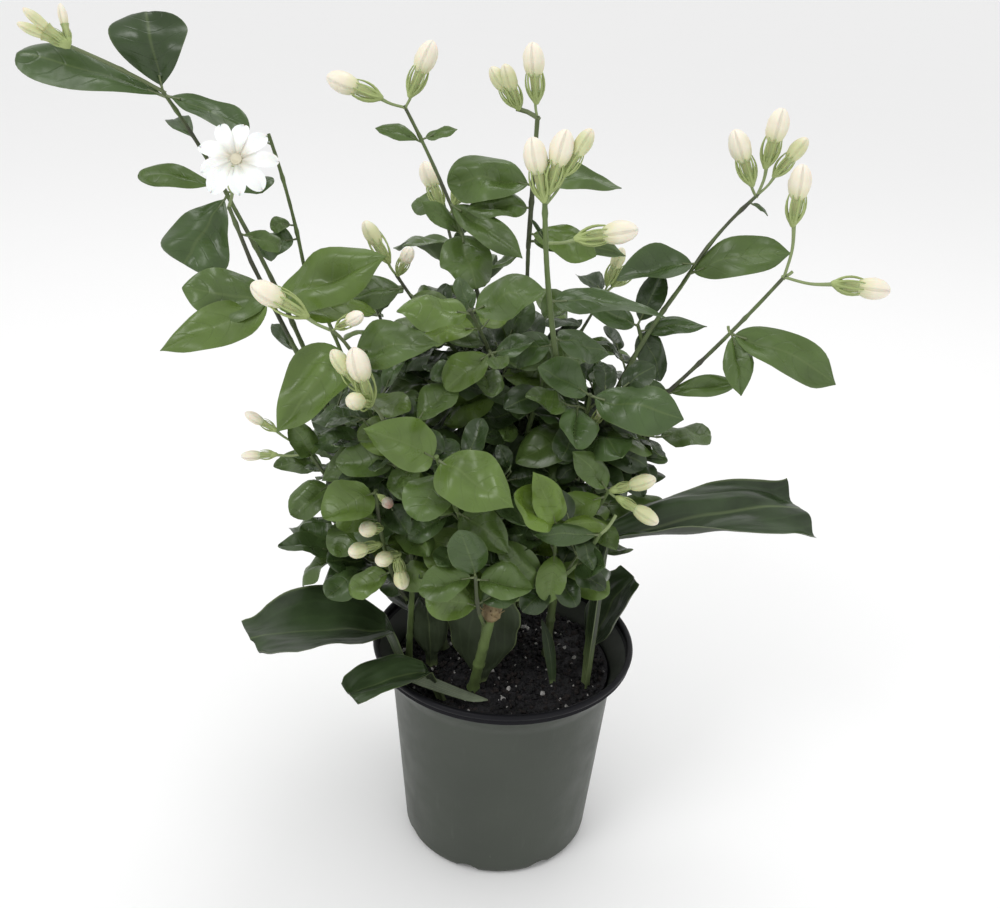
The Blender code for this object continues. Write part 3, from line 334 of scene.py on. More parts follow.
def direction(clock, lean):
    """The unit vector at a clock direction seen from the front, leaning towards the front."""
    clock, lean = math.radians(clock), math.radians(lean)
    return Vector((math.sin(clock) * math.cos(lean), -math.sin(lean), math.cos(clock) * math.cos(lean)))


def compass(heading, rise):
    heading, rise = math.radians(heading), math.radians(rise)
    return Vector((math.cos(heading) * math.cos(rise), math.sin(heading) * math.cos(rise), math.sin(rise)))


def held(value):
    """A value kept between 0 and 1."""
    return min(max(value, 0), 1)


def across(axis, reference):
    """The unit vector square to axis that lies nearest to reference."""
    found = reference - axis * (reference.dot(axis) / axis.length_squared)
    return found.normalized() if found.length > 1e-6 else axis.orthogonal().normalized()


def curve(start, tip, bow, radius, tip_radius, step):
    """A tapering path whose middle is lifted off the straight line by bow."""
    middle = (start + tip) / 2 + across(tip - start, UP) * bow * 2
    count = max(2, round((tip - start).length / step))
    shares = [index / count for index in range(count + 1)]
    points = [start * (1 - s) ** 2 + middle * 2 * s * (1 - s) + tip * s * s for s in shares]
    return Path(points, [radius + (tip_radius - radius) * s for s in shares])


def path_length(path):
    return sum((b - a).length for a, b in zip(path.points, path.points[1:]))


def along(path, share):
    """The point, direction and radius at a share of a path."""
    place = held(share) * (len(path.points) - 1)
    index = min(int(place), len(path.points) - 2)
    part = place - index
    first, last = path.points[index], path.points[index + 1]
    radius = path.radii[index] * (1 - part) + path.radii[index + 1] * part
    return first.lerp(last, part), (last - first).normalized(), radius


def clear_start(path, share, aim, radius):
    """Where a new limb of that radius begins, clear of the limb that it leaves."""
    point, tangent, parent_radius = along(path, share)
    if share >= 1:
        slope = tangent.cross(aim.normalized()).length
        return point + tangent * (GAP + radius * slope)
    outward = across(tangent, aim)
    slope = abs(tangent.dot(aim.normalized()))
    return point + outward * (parent_radius + GAP + radius * slope)


def tube(points, radii, sides):
    """A closed tube with flat ends. It comes to a point where the last radius is zero."""
    vertices, faces, rings = [], [], []
    side = None
    for index, (point, radius) in enumerate(zip(points, radii)):
        ahead = points[min(index + 1, len(points) - 1)]
        behind = points[max(index - 1, 0)]
        axis = (ahead - behind).normalized()
        side = across(axis, side or FRONT)
        rings.append(len(vertices))
        if radius == 0:
            vertices.append(point.copy())
            continue
        for turn in range(sides):
            angle = 2 * math.pi * turn / sides
            vertices.append(point + (side * math.cos(angle) + axis.cross(side) * math.sin(angle)) * radius)
    for first, last, radius in zip(rings, rings[1:], radii[1:]):
        for turn in range(sides):
            beside = (turn + 1) % sides
            if radius == 0:
                faces.append((first + turn, first + beside, last))
            else:
                faces.append((first + turn, first + beside, last + beside, last + turn))
    faces.append(tuple(range(sides))[::-1])
    if radii[-1] > 0:
        faces.append(tuple(range(rings[-1], rings[-1] + sides)))
    return Shell(vertices, faces)


def turned(profile, segments):
    """A closed shell turned about +Z from (radius, height) points that begin and end on the axis."""
    vertices, faces, rings = [], [], []
    for radius, height in profile:
        count = segments if radius > 0 else 1
        rings.append([len(vertices) + turn for turn in range(count)])
        for turn in range(count):
            angle = 2 * math.pi * turn / segments
            vertices.append(Vector((radius * math.cos(angle), radius * math.sin(angle), height)))
    for first, last in zip(rings, rings[1:]):
        for turn in range(segments):
            beside = (turn + 1) % segments
            corners = [first[turn % len(first)], first[beside % len(first)],
                       last[beside % len(last)], last[turn % len(last)]]
            faces.append(tuple(dict.fromkeys(corners)))
    return Shell(vertices, faces)


def ribbon(rings, tip=None):
    """A thin closed blade from rings of (left edge, right edge, keel) to its tip, or to a flat end."""
    vertices = [point for ring in rings for point in ring]
    faces = [(0, 1, 2)]
    for start in range(0, 3 * (len(rings) - 1), 3):
        for corner in range(3):
            beside = (corner + 1) % 3
            faces.append((start + corner, start + 3 + corner, start + 3 + beside, start + beside))
    last = len(vertices) - 3
    if tip is None:
        faces.append((last, last + 2, last + 1))
    else:
        vertices.append(tip)
        faces += [(last + corner, last + 3, last + (corner + 1) % 3) for corner in range(3)]
    return Shell(vertices, faces)


def blade_point(leaf, share, spread, lift):
    """A point of a leaf's blade: share along its rib, spread to its right, lift off its upper face."""
    side = leaf.out.cross(leaf.face)
    turn = leaf.curl * share
    reach = leaf.length / leaf.curl
    forward, down = reach * math.sin(turn), reach * (1 - math.cos(turn))
    rib = leaf.root + leaf.out * (leaf.stalk + forward) - leaf.face * down
    normal = leaf.face * math.cos(turn) + leaf.out * math.sin(turn)
    return rib + side * spread + normal * lift


def blade_rings(leaf, spare):
    """Rings of (left edge, right edge, keel) along a leaf's blade, made larger all round by spare."""
    sections = LONG_BLADE if leaf.length >= LONG_BLADE_FROM else SHORT_BLADE
    depth = max(LEAST_DEPTH, leaf.length * LEAF_DEPTH) + spare
    rings = []
    for share, spread in sections:
        half = max(leaf.width / 2 * spread, LEAF_STALK_RADIUS) + spare
        rings.append((blade_point(leaf, share, -half, spare), blade_point(leaf, share, half, spare),
                      blade_point(leaf, share, 0, -depth)))
    return rings


def leaf_shell(leaf):
    """One leaf as a thin closed shell on its stalk."""
    side = leaf.out.cross(leaf.face) * LEAF_STALK_RADIUS
    foot = (leaf.root - side, leaf.root + side, leaf.root - leaf.face * LEAF_STALK_RADIUS * 1.6)
    return ribbon([foot] + blade_rings(leaf, 0), blade_point(leaf, 1, 0, 0))


def leaf_space(leaf):
    """The room that a leaf's blade needs, and the room that its stalk needs."""
    blade = ribbon(blade_rings(leaf, CLEARANCE), blade_point(leaf, 1 + CLEARANCE / leaf.length, 0, 0))
    stalk = [leaf.root, leaf.root + leaf.out * leaf.stalk]
    return blade, tube(stalk, [LEAF_STALK_RADIUS + CLEARANCE] * 2, BUD_SIDES)


def light_at(point):
    """Where a leaf at a point turns its face: to the sky, and away from the crown's axis."""
    outward = (point - CROWN_AXIS).to_2d().to_3d().normalized()
    return SKY_LIGHT + outward * OUTWARD_LIGHT


class Crowd:
    """Everything grown so far, kept so that new growth can stay clear of it."""

    def __init__(self):
        self.trees = []

    @staticmethod
    def bounds(shell):
        low = [min(point[axis] for point in shell.vertices) for axis in range(3)]
        high = [max(point[axis] for point in shell.vertices) for axis in range(3)]
        return low, high

    def add(self, shell, owner=None):
        tree = BVHTree.FromPolygons(shell.vertices, shell.faces)
        self.trees.append((*self.bounds(shell), tree, owner))

    def free(self, shell, apart_from=None):
        """Whether a shell touches nothing, apart from what one owner has grown."""
        low, high = self.bounds(shell)
        tree = None
        for other_low, other_high, other, owner in self.trees:
            if owner is not None and owner == apart_from:
                continue
            if any(high[axis] < other_low[axis] or low[axis] > other_high[axis] for axis in range(3)):
                continue
            tree = tree or BVHTree.FromPolygons(shell.vertices, shell.faces)
            if tree.overlap(other):
                return False
        return True


class Mass:
    """One mass of foliage: a main twig, and the twigs, leaves, buds and flowers on it."""

    def __init__(self, name, crowd):
        self.name = name
        self.crowd = crowd
        self.random = random.Random(name)
        self.path = None
        self.twigs = []
        self.shells = []
        self.leaves = []
        self.ends = []

    def keep(self, shell):
        self.shells.append(shell)
        self.crowd.add(shell, self.name)

    def add_twig(self, path):
        self.twigs.append(path)
        self.keep(tube(path.points, path.radii, TWIG_SIDES))

    def add_leaf(self, root, aim, size, width, light=FRONT_LIGHT):
        """Adds a leaf that points along aim, turned a little or made smaller until it is clear."""
        for attempt in range(LEAF_TRIES):
            turn = LEAF_TRY_TURN * attempt
            spin = Matrix.Rotation(self.random.uniform(-turn, turn), 3, UP)
            tilt = Matrix.Rotation(self.random.uniform(-turn, turn), 3, aim.orthogonal())
            out = (tilt @ spin @ aim).normalized()
            scale = 1 - LEAF_TRY_SHRINK * attempt
            leaf = Leaf(root, out, across(out, light), size * scale, width * scale, LEAF_CURL, LEAF_STALK)
            blade, stalk = leaf_space(leaf)
            if self.crowd.free(blade) and self.crowd.free(stalk, apart_from=self.name):
                self.leaves.append(leaf)
                self.keep(leaf_shell(leaf))
                return leaf
        return None

    def add_cyme(self, root, stalks):
        """Adds flower stalks that fan from one point, each with what ends it."""
        for clock, lean, length, end in stalks:
            aim = direction(clock, lean)
            if isinstance(end, tuple):
                tip = root + aim * length * MM
                path = curve(root, tip, STALK_BOW, TWIG_TIP_RADIUS, TWIG_TIP_RADIUS, TWIG_STEP)
                self.add_twig(path)
                self.add_cyme(path.points[-1] - aim * STALK_RADIUS * 2, end)
            else:
                self.add_end(root, aim, length, end)

    def add_end(self, root, aim, length, kind):
        size = BUD_SIZES[kind]
        stalk_end = root + aim * length * MM
        points, radii = [root], [STALK_RADIUS * size]
        if kind == "none":
            points.append(stalk_end)
            radii.append(STALK_RADIUS * 0.8)
        elif kind == "bloom":
            points += [stalk_end, stalk_end + aim * BLOOM_THROAT * 2]
            radii += [STALK_RADIUS, STALK_RADIUS * 2]
        else:
            if length > 1:
                points.append(stalk_end)
                radii.append(STALK_RADIUS * size)
            for height, radius in BUD_PROFILE:
                points.append(stalk_end + aim * height * size * MM)
                radii.append(radius * size * MM)
            points.append(stalk_end + aim * BUD_LENGTH * size * MM)
            radii.append(0)
        self.ends.append((kind, root, aim, stalk_end, size))
        self.keep(tube(points, radii, BUD_SIDES))
        if kind == "bloom":
            self.keep(bloom_shell(points[-1]))

    def add_pairs(self, path, first):
        """Adds opposite leaf pairs up a twig, each pair square to the one before, and an end leaf."""
        length = path_length(path)
        place, turn = first, self.random.uniform(-30, 30)
        while place < length - END_MARGIN:
            root, tangent, _ = along(path, place / length)
            share = held((root.z - LOW_CROWN) / (HIGH_CROWN - LOW_CROWN))
            size = LOW_LEAF[0] + (HIGH_LEAF[0] - LOW_LEAF[0]) * share
            ratio = LOW_LEAF[1] + (HIGH_LEAF[1] - LOW_LEAF[1]) * share
            light = light_at(root)
            side = Matrix.Rotation(math.radians(turn), 3, tangent) @ across(tangent, UP).cross(tangent)
            for hand in (side, -side):
                aim = tangent * math.cos(PAIR_OPEN) + hand * math.sin(PAIR_OPEN)
                own = size * self.random.uniform(0.82, 1.12)
                self.add_leaf(root, aim.normalized(), own, own * ratio, light)
            place += PAIR_STEP * self.random.uniform(0.9, 1.1)
            turn += PAIR_TURN + self.random.uniform(-16, 16)
        root, tangent, _ = along(path, TWIG_END)
        own = LOW_LEAF[0] * self.random.uniform(0.9, 1.1)
        self.add_leaf(root, tangent, own, own * LOW_LEAF[1], SKY_LIGHT)

    def add_side_twigs(self, path):
        """Adds two short twigs to the sides of the main one, where there is room."""
        for share, hand in SIDE_TWIG_PLACES:
            root, tangent, _ = along(path, share)
            side = across(tangent, UP).cross(tangent) * hand
            aim = tangent * math.cos(SIDE_TWIG_OPEN) + side * math.sin(SIDE_TWIG_OPEN)
            length = SIDE_TWIG * self.random.uniform(0.85, 1.15)
            twig = curve(root, root + aim * length, 1 * MM, TWIG_TIP_RADIUS, TWIG_TIP_RADIUS * 0.8, TWIG_STEP)
            wide = [radius + CLEARANCE for radius in twig.radii]
            near, far = tube(twig.points[:2], wide[:2], BUD_SIDES), tube(twig.points[1:], wide[1:], BUD_SIDES)
            if self.crowd.free(far) and self.crowd.free(near, apart_from=self.name):
                self.add_twig(twig)
                self.add_pairs(twig, FIRST_PAIR)


def bloom_axes():
    """The directions across, up and out of the open flower, which faces the front and up."""
    face = (FRONT * 0.88 + UP * 0.47).normalized()
    side = across(face, Vector((1, 0, 0)))
    return side, face.cross(side), face


def bloom_shell(centre):
    """The open flower: a shallow star of rounded petals."""
    side, rise, face = bloom_axes()
    outline = []
    for step in range(4 * PETAL_COUNT):
        angle = 2 * math.pi * step / (4 * PETAL_COUNT)
        radius = BLOOM_RADIUS * (1, 0.94, 0.42, 0.94)[step % 4]
        outline.append(centre + (side * math.cos(angle) + rise * math.sin(angle)) * radius)
    vertices = [centre + face * BLOOM_DEPTH, centre - face * BLOOM_DEPTH] + outline
    faces = []
    for step in range(len(outline)):
        here, beside = 2 + step, 2 + (step + 1) % len(outline)
        faces += [(0, here, beside), (1, beside, here)]
    return Shell(vertices, faces)


def pot_profile():
    """The pot's wall from the middle of its floor, up the inside, over the rim and down the outside."""
    corner = [(FOOT_RADIUS - FOOT_CORNER * (1 - math.sin(angle)), FOOT_CORNER * (1 - math.cos(angle)))
              for angle in (math.radians(step) for step in (0, 30, 60, 90))]
    flare = []
    for step in range(FLARE_STEPS + 1):
        share = step / FLARE_STEPS
        radius = SHOULDER_RADIUS + (RIM_RADIUS - SHOULDER_RADIUS) * share ** 1.5
        flare.append((radius, SHOULDER_HEIGHT + (POT_HEIGHT - RIM_ROLL - SHOULDER_HEIGHT) * share))
    lip = [(RIM_RADIUS, POT_HEIGHT - RIM_ROLL * 0.3), (RIM_RADIUS - RIM_ROLL * 0.4, POT_HEIGHT)]
    outside = corner + flare + lip
    inside = [(radius - POT_WALL, max(height, POT_WALL)) for radius, height in corner[2:] + flare]
    inside.append((RIM_RADIUS - RIM_ROLL * 0.9, POT_HEIGHT - RIM_ROLL * 0.25))
    inside[0] = (FOOT_RADIUS - FOOT_CORNER, POT_WALL)
    return [(0, POT_WALL)] + inside + outside[::-1] + [(0, 0)]


def soil_profile():
    """The soil that fills the pot, clear of its wall and level where the stems stand."""
    slope = (SHOULDER_RADIUS - FOOT_RADIUS) / (SHOULDER_HEIGHT - FOOT_CORNER)
    inset = POT_WALL + GAP * 1.5
    low = FOOT_CORNER + 1 * MM
    edge = SOIL_HEIGHT - SOIL_EDGE_DROP
    return [
        (0, POT_WALL + GAP), (FOOT_RADIUS - FOOT_CORNER - inset, POT_WALL + GAP),
        (FOOT_RADIUS - inset, low), (SHOULDER_RADIUS - inset - slope * 2 * MM, SHOULDER_HEIGHT - 2 * MM),
        (SHOULDER_RADIUS - inset, edge), (SOIL_FLAT_RADIUS, SOIL_HEIGHT), (0, SOIL_HEIGHT),
    ]


def limb_paths():
    """Each limb's path, from the named limbs."""
    paths = {}
    for limb in LIMBS:
        tip = Vector(limb.tip) * MM
        if limb.parent is None:
            start = Vector((limb.foot[0] * MM, limb.foot[1] * MM, SOIL_HEIGHT + GAP))
        else:
            point, _, _ = along(paths[limb.parent], limb.at)
            start = clear_start(paths[limb.parent], limb.at, tip - point, limb.radius * MM)
        path = curve(start, tip, limb.bow * MM, limb.radius * MM, limb.tip_radius * MM, LIMB_STEP)
        if limb.parent is None:
            collar = start + (path.points[1] - start).normalized() * FOOT_FLARE_HEIGHT
            path = Path([start, collar] + path.points[1:], [path.radii[0] * FOOT_FLARE] + path.radii)
        paths[limb.name] = path
    return paths


def basal_rows(basal):
    """An old leaf's rows of (step in mm, turn in degrees, half width), from its foot to the blade's end."""
    half = basal.width / 2 * MM
    pieces = 2 if basal.stalk > OLD_STALK_SPLIT_FROM else 1
    rows = [(0, 0, 0)]
    rows += [(basal.stalk / pieces, 0, half * OLD_STALK)] * pieces
    rows += [(basal.length * step, basal.curl / len(OLD_BLADE), half * spread) for step, spread in OLD_BLADE]
    for bent in (-len(OLD_BLADE) - 1, -len(OLD_BLADE)):
        step, turn, spread = rows[bent]
        rows[bent] = (step, turn + basal.bend / 2, spread)
    return rows


def basal_walk(basal):
    """An old leaf's places as (point, aim, step, half width), from its foot to the blade's end."""
    aim = compass(basal.heading, basal.rise)
    side = compass(basal.heading - 90, 0)
    point = Vector((*basal.foot, 0)) * MM
    point.z = SOIL_HEIGHT + GAP * 1.5
    for step, turn, spread in basal_rows(basal):
        point = point + aim * step * MM
        aim = Matrix.Rotation(math.radians(-turn), 3, side) @ aim
        yield point, aim, step, spread


def basal_shells(basal):
    """A broad leaf from the soil, by node name: a straight stalk, a bend, then a curling blade."""
    side = compass(basal.heading - 90, 0)
    depth = max(basal.length * MM * OLD_LEAF_DEPTH, OLD_LEAF_LEAST_DEPTH)
    rings, aims = [], []
    for point, aim, step, spread in basal_walk(basal):
        aims.append(aim)
        normal = side.cross(aim)
        if step == 0:
            flat = compass(basal.heading, 0) * depth * 1.4
            rings.append((point - side * depth * 1.2, point + side * depth * 1.2, point + flat))
        else:
            lift = normal * spread * OLD_LEAF_FOLD
            rings.append((point - side * spread + lift, point + side * spread + lift, point - normal * depth))
    tip = point + aim * basal.length * OLD_BLADE_TIP * MM
    if basal.stalk <= OLD_STALK_SPLIT_FROM:
        return {basal.name: ribbon(rings, tip)}
    bend = len(rings) - len(OLD_BLADE) - 1
    first = tuple(corner + aims[bend] * GAP for corner in rings[bend])
    return {f"{basal.name}_stalk": ribbon(rings[:bend + 1]),
            f"{basal.name}_blade": ribbon([first] + rings[bend + 1:], tip)}


def start_shoot(shoot, paths, crowd):
    """Starts a named mass of foliage: its main twig, its flower stalks and what ends them."""
    mass = Mass(shoot.name, crowd)
    limb = paths[shoot.limb]
    point, _, radius = along(limb, shoot.at)
    wide = min(TWIG_RADIUS, radius)
    tip = Vector(shoot.tip) * MM
    start = clear_start(limb, shoot.at, tip - point, wide)
    mass.path = curve(start, tip, shoot.bow * MM, wide, TWIG_TIP_RADIUS, TWIG_STEP)
    mass.add_twig(mass.path)
    for share, *stalk in shoot.stalks:
        mass.add_cyme(along(mass.path, min(share, TWIG_END))[0], (stalk,))
    return mass


def leaf_shoot(shoot, mass):
    """Adds a named mass's leaves, one by one or by the seeded rule."""
    for share, clock, lean, size, width in shoot.blades:
        root, _, _ = along(mass.path, min(share, TWIG_END))
        mass.add_leaf(root, direction(clock, lean), size * MM, width * MM)
    if not shoot.blades:
        mass.add_pairs(mass.path, FIRST_PAIR)


def grow_spray(number, spray, paths, crowd):
    """Grows a side spray. It turns and shortens until its main twig has room."""
    mass = Mass(f"{spray.limb}_spray_{number}", crowd)
    limb = paths[spray.limb]
    wide = min(TWIG_RADIUS, along(limb, spray.at)[2])
    for attempt in range(SPRAY_TRIES):
        heading = spray.heading + mass.random.uniform(-SPRAY_TRY_TURN, SPRAY_TRY_TURN) * attempt
        rise = SPRAY_RISE + mass.random.uniform(-SPRAY_TRY_RISE, SPRAY_TRY_RISE) * attempt
        aim = compass(heading, rise)
        start = clear_start(limb, spray.at, aim, wide)
        tip = start + aim * spray.length * MM * (1 - SPRAY_TRY_SHRINK * attempt)
        path = curve(start, tip, SPRAY_BOW, wide, TWIG_TIP_RADIUS, TWIG_STEP)
        test = [start.lerp(path.points[1], 0.4)] + path.points[1:]
        if crowd.free(tube(test, [radius + CLEARANCE for radius in path.radii], TWIG_SIDES)):
            break
    else:
        raise RuntimeError(f"{mass.name} finds no room")
    mass.path = path
    mass.add_twig(path)
    mass.add_side_twigs(path)
    mass.add_pairs(path, FIRST_PAIR)
    return mass


@functools.cache
def grow():
    """Grows the whole plant as the part does, then its finer twigs. Gives the limbs' paths and the masses."""
    crowd = Crowd()
    crowd.add(turned(pot_profile(), POT_SEGMENTS))
    crowd.add(turned(soil_profile(), POT_SEGMENTS))
    paths = limb_paths()
    for path in paths.values():
        crowd.add(tube(path.points, path.radii, LIMB_SIDES))
    for basal in BASALS:
        for shell in basal_shells(basal).values():
            crowd.add(shell)
    masses = [start_shoot(shoot, paths, crowd) for shoot in SHOOTS]
    for shoot, mass in zip(SHOOTS, masses):
        leaf_shoot(shoot, mass)
    masses += [grow_spray(number, spray, paths, crowd) for number, spray in enumerate(SPRAYS, 1)]
    grow_on(masses, paths, crowd)
    return paths, masses


# Finer growth inside the crown, beyond what the solids hold
CROWN_CENTRE = Vector((-8, 6, 190)) * MM
CROWN_REACH = Vector((68, 60, 60)) * MM
# Sprays that carry no sprigs
BARE_SPRAYS = ("right_front_shoot", "left_front_shoot")
SPRIG_STEP = 10 * MM
SPRIG_LENGTH = (7 * MM, 15 * MM)
SPRIG_OPEN = math.radians(55)
SPRIG_RADIUS = 0.5 * MM
SPRIG_TAPER = 0.7
SPRIG_BOW = 0.6 * MM
SPRIG_START = 2.6 * MM
SPRIG_LEAF_PLACES = (0.55, 0.6, 1.0)
SPRIG_LEAF = (10 * MM, 19 * MM)
SPRIG_RATIO = (0.72, 0.92)
# Single leaves on the limbs: (share of the limb, clock direction, lean, length, width), in millimetres.
# Each is tested a little off its limb, which would otherwise be in its way.
LIMB_LEAVES = {"bough_left_flower": ((0.66, 308, -28, 16, 6),)}
LIMB_LEAF_OFF = 1.6 * MM

# How finely each kind of surface is made
LIMB_FINE_STEP = 0.9 * MM
TWIG_FINE_STEP = 2.2 * MM
FLOWER_STALK_FINE_STEP = 1.2 * MM
LEAF_STALK_FINE_STEP = 1.3 * MM
BUD_FINE_STEP = 0.9 * MM
THROAT_FINE_STEP = 0.5 * MM
LIMB_FINE_SIDES = 14
TWIG_FINE_SIDES = 7
STALK_FINE_SIDES = 6
CALYX_SIDES = 12
BUD_TUBE_SIDES = 10
THROAT_SIDES = 18
LEAST_RADIUS = 0.02 * MM
# How many times a round piece's map repeats in a metre
MAP_SCALE = 20

# Where the blade begins on the leaf's stalk, and the lengths that set large and inner leaves apart
BLADE_START = 0.45
LARGE_LEAF = 21 * MM
INNER_LEAF = 17 * MM
LARGE_LEAF_CELLS = (22, 8)
SMALL_LEAF_CELLS = (12, 6)
LEAF_THICKNESS = 0.42 * MM
# The angles in degrees from which an edge shows sharp, by kind of surface
BLADE_SHARP = 75
FLOWER_SHARP = 60
BARK_SHARP = 50
BUD_SHARP = 40
TURNED_SHARP = 35
OLD_LEAF_CELLS = (54, 18)
OLD_LEAF_THICKNESS = 1.0 * MM
# The roll at the tip in degrees, the widening towards it, and how deep the folds are
OLD_LEAF_TURNS = {"basal_leaf_right": (-27, 0.5, 2.4), "basal_leaf_left": (0, 0.1, 1.3)}
OLD_LEAF_END = 0.78
OLD_LEAF_WAIST = 0.45
FLOOR_REACH = 60
LAMP_TARGET = Vector((0, 0, 0.15))
BULB_SEGMENTS = 20
BULB_ROWS = 14

GROUPS = {
    "left": ("left_", "stem_left", "bough_left"),
    "top": ("top_", "bough_top"),
    "right": ("right_", "stem_right", "bough_right"),
    "back": ("back_", "stem_back"),
    "front": ("stub_", "front_", "centre_front", "stem_front"),
    "middle": ("stem_centre",),
}
# inner is a darker green that paints shade onto small leaves inside the crown
GREENS = ("inner", "deep", "mid", "fresh", "light")
# Which green each spray has most of. Sprays that aren't named here draw theirs by seed.
SPRAYS_BY_GREEN = {
    "deep": ("left_long_shoot", "top_front_shoot", "stub_shoot", "right_high_shoot", "right_high_node_shoot",
             "right_inner_shoot"),
    "mid": ("left_flower_shoot", "left_back_shoot", "left_bud_shoot", "left_low_shoot", "top_low_shoot",
            "top_left_shoot", "top_middle_shoot", "stub_left_shoot", "right_low_shoot"),
    "fresh": ("left_node_shoot", "left_mid_shoot", "left_front_shoot", "top_inner_shoot",
              "centre_front_shoot", "front_light_shoot", "right_front_shoot"),
}
SPRAY_GREENS = {spray: green for green, sprays in SPRAYS_BY_GREEN.items() for spray in sprays}
GREENS_BY_SEED = ("deep", "mid", "mid")
# How many greens a leaf may differ from its spray by seed, and by how many greens an inner leaf is darkened
# as painted shade
GREEN_STEPS = (-1, 0, 0, 0, 0, 1)
INNER_SHADE_STEPS = 2
GREEN_STEMS = ("stem_front", "stem_left_green", "bough_top_front", "bough_left_back")
GREEN_SPRAYS = ("top_front_shoot", "left_back_shoot", "left_mid_shoot", "centre_front_shoot",
                "front_light_shoot", "stub_shoot", "right_front_shoot")
STOUT_SPRAYS = ("top_front_shoot", "top_middle_shoot")
STOUT = 1.35


def in_crown(point):
    """Whether a point is in the dense middle of the crown, away from the sky between the long shoots."""
    offset = point - CROWN_CENTRE
    return sum((offset[axis] / CROWN_REACH[axis]) ** 2 for axis in range(3)) < 1


def add_sprig(mass, path, share, turn):
    """Adds a short side twig with a pair of small leaves and an end leaf, where there is room."""
    draw = mass.random.uniform
    root, tangent, _ = along(path, share)
    side = Matrix.Rotation(turn, 3, tangent) @ across(tangent, UP)
    aim = (tangent * math.cos(SPRIG_OPEN) + side * math.sin(SPRIG_OPEN)).normalized()
    tip = root + aim * draw(*SPRIG_LENGTH)
    if not in_crown(tip):
        return
    twig = curve(root, tip, SPRIG_BOW, SPRIG_RADIUS, SPRIG_RADIUS * SPRIG_TAPER, SPRIG_LENGTH[1] / 3)
    tested = tube([root + aim * SPRIG_START, tip], [SPRIG_RADIUS + CLEARANCE] * 2, TWIG_SIDES)
    if not mass.crowd.free(tested):
        return
    mass.add_twig(twig)
    hand = across(aim, side.cross(aim))
    aims = (aim * 0.5 + hand, aim * 0.5 - hand, aim + UP * 0.2)
    for place, out in zip(SPRIG_LEAF_PLACES, aims):
        size = draw(*SPRIG_LEAF)
        width = size * draw(*SPRIG_RATIO)
        mass.add_leaf(along(twig, place)[0], out.normalized(), size, width, light_at(root))


def grow_on(masses, paths, crowd):
    """Carries the growth on: sprigs along the limbs and along every twig inside the crown."""
    for name, path in paths.items():
        sprigs = Mass(f"{name}_sprigs", crowd)
        sprigs.twigs.append(path)
        for share, clock, lean, size, width in LIMB_LEAVES.get(name, ()):
            root, _, radius = along(path, share)
            aim = direction(clock, lean)
            leaf = sprigs.add_leaf(root + aim * (radius + LIMB_LEAF_OFF), aim, size * MM, width * MM)
            if leaf:
                sprigs.leaves[-1] = leaf._replace(root=root)
        masses.append(sprigs)
    for mass in masses:
        for path in list(mass.twigs) if mass.name not in BARE_SPRAYS else ():
            length = path_length(path)
            for step in range(int(length / SPRIG_STEP)):
                turn = mass.random.uniform(0, 2 * math.pi)
                for hand in (0, math.pi):
                    add_sprig(mass, path, (step + 0.5) * SPRIG_STEP / length, turn + hand)
        if mass.name.endswith("_sprigs"):
            mass.twigs.pop(0)


def group_of(name):
    return next(group for group, starts in GROUPS.items() if name.startswith(starts))


class Build:
    """Collects the faces of one mesh, each with its material's number, and a map position for each vertex."""

    def __init__(self):
        self.vertices = []
        self.places = []
        self.faces = []
        self.slots = []

    def add(self, vertices, places, faces, slots):
        start = len(self.vertices)
        self.vertices += vertices
        self.places += places
        self.faces += [[start + corner for corner in face] for face in faces]
        self.slots += slots

    def piece(self, name, materials, sharp=BARK_SHARP):
        """The finished object, at the origin and shaded smooth."""
        mesh = bpy.data.meshes.new(name)
        mesh.from_pydata(self.vertices, [], self.faces)
        for made in materials:
            mesh.materials.append(made)
        mesh.polygons.foreach_set("material_index", self.slots)
        layer = mesh.uv_layers.new(name="surface")
        corners = [0] * len(mesh.loops)
        mesh.loops.foreach_get("vertex_index", corners)
        layer.data.foreach_set("uv", [value for corner in corners for value in self.places[corner]])
        mesh.shade_smooth()
        mesh.set_sharp_from_angle(angle=math.radians(sharp))
        return linked(name, mesh)


def linked(name, mesh):
    made = bpy.data.objects.new(name, mesh)
    bpy.context.scene.collection.objects.link(made)
    return made


def keep(piece, slot, *nodes):
    """Hands a finished piece to the frame: it rides on the one body and stands for those nodes."""
    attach(piece, "root")
    if nodes:
        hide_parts(*nodes)


def add_blade(build, rows, thickness, upper, under):
    """A thin closed sheet. Each row is (point, normal, place) from its left edge to its right one."""
    cells = len(rows[0]) - 1
    vertices, places, top, low = [], [], [], []
    for row in rows:
        top.append([len(vertices) + column for column in range(cells + 1)])
        vertices += [point for point, _, _ in row]
        places += [place for _, _, place in row]
        inner = [len(vertices) + column for column in range(cells - 1)]
        vertices += [point - normal * thickness for point, normal, _ in row[1:-1]]
        places += [place for _, _, place in row[1:-1]]
        low.append([top[-1][0], *inner, top[-1][-1]])
    faces, slots = [], []
    for row in range(len(rows) - 1):
        near, far, near_low, far_low = top[row], top[row + 1], low[row], low[row + 1]
        for column in range(cells):
            beside = column + 1
            faces.append((near[column], near[beside], far[beside], far[column]))
            faces.append((near_low[column], far_low[column], far_low[beside], near_low[beside]))
            slots += [upper, under]
    faces.append(top[0][::-1] + low[0][1:-1])
    faces.append(top[-1] + low[-1][1:-1][::-1])
    slots += [under, under]
    build.add(vertices, places, faces, slots)


def blended(values, place):
    """A smooth curve through values, points or numbers, at a place counted in them."""
    index = min(int(place), len(values) - 2)
    part = place - index
    before, after = values[max(index - 1, 0)], values[min(index + 2, len(values) - 1)]
    first, last = values[index], values[index + 1]
    slope_in, slope_out = (last - before) * 0.5, (after - first) * 0.5
    square, cube = part * part, part ** 3
    return (first * (2 * cube - 3 * square + 1) + slope_in * (cube - 2 * square + part)
            + last * (3 * square - 2 * cube) + slope_out * (cube - square))


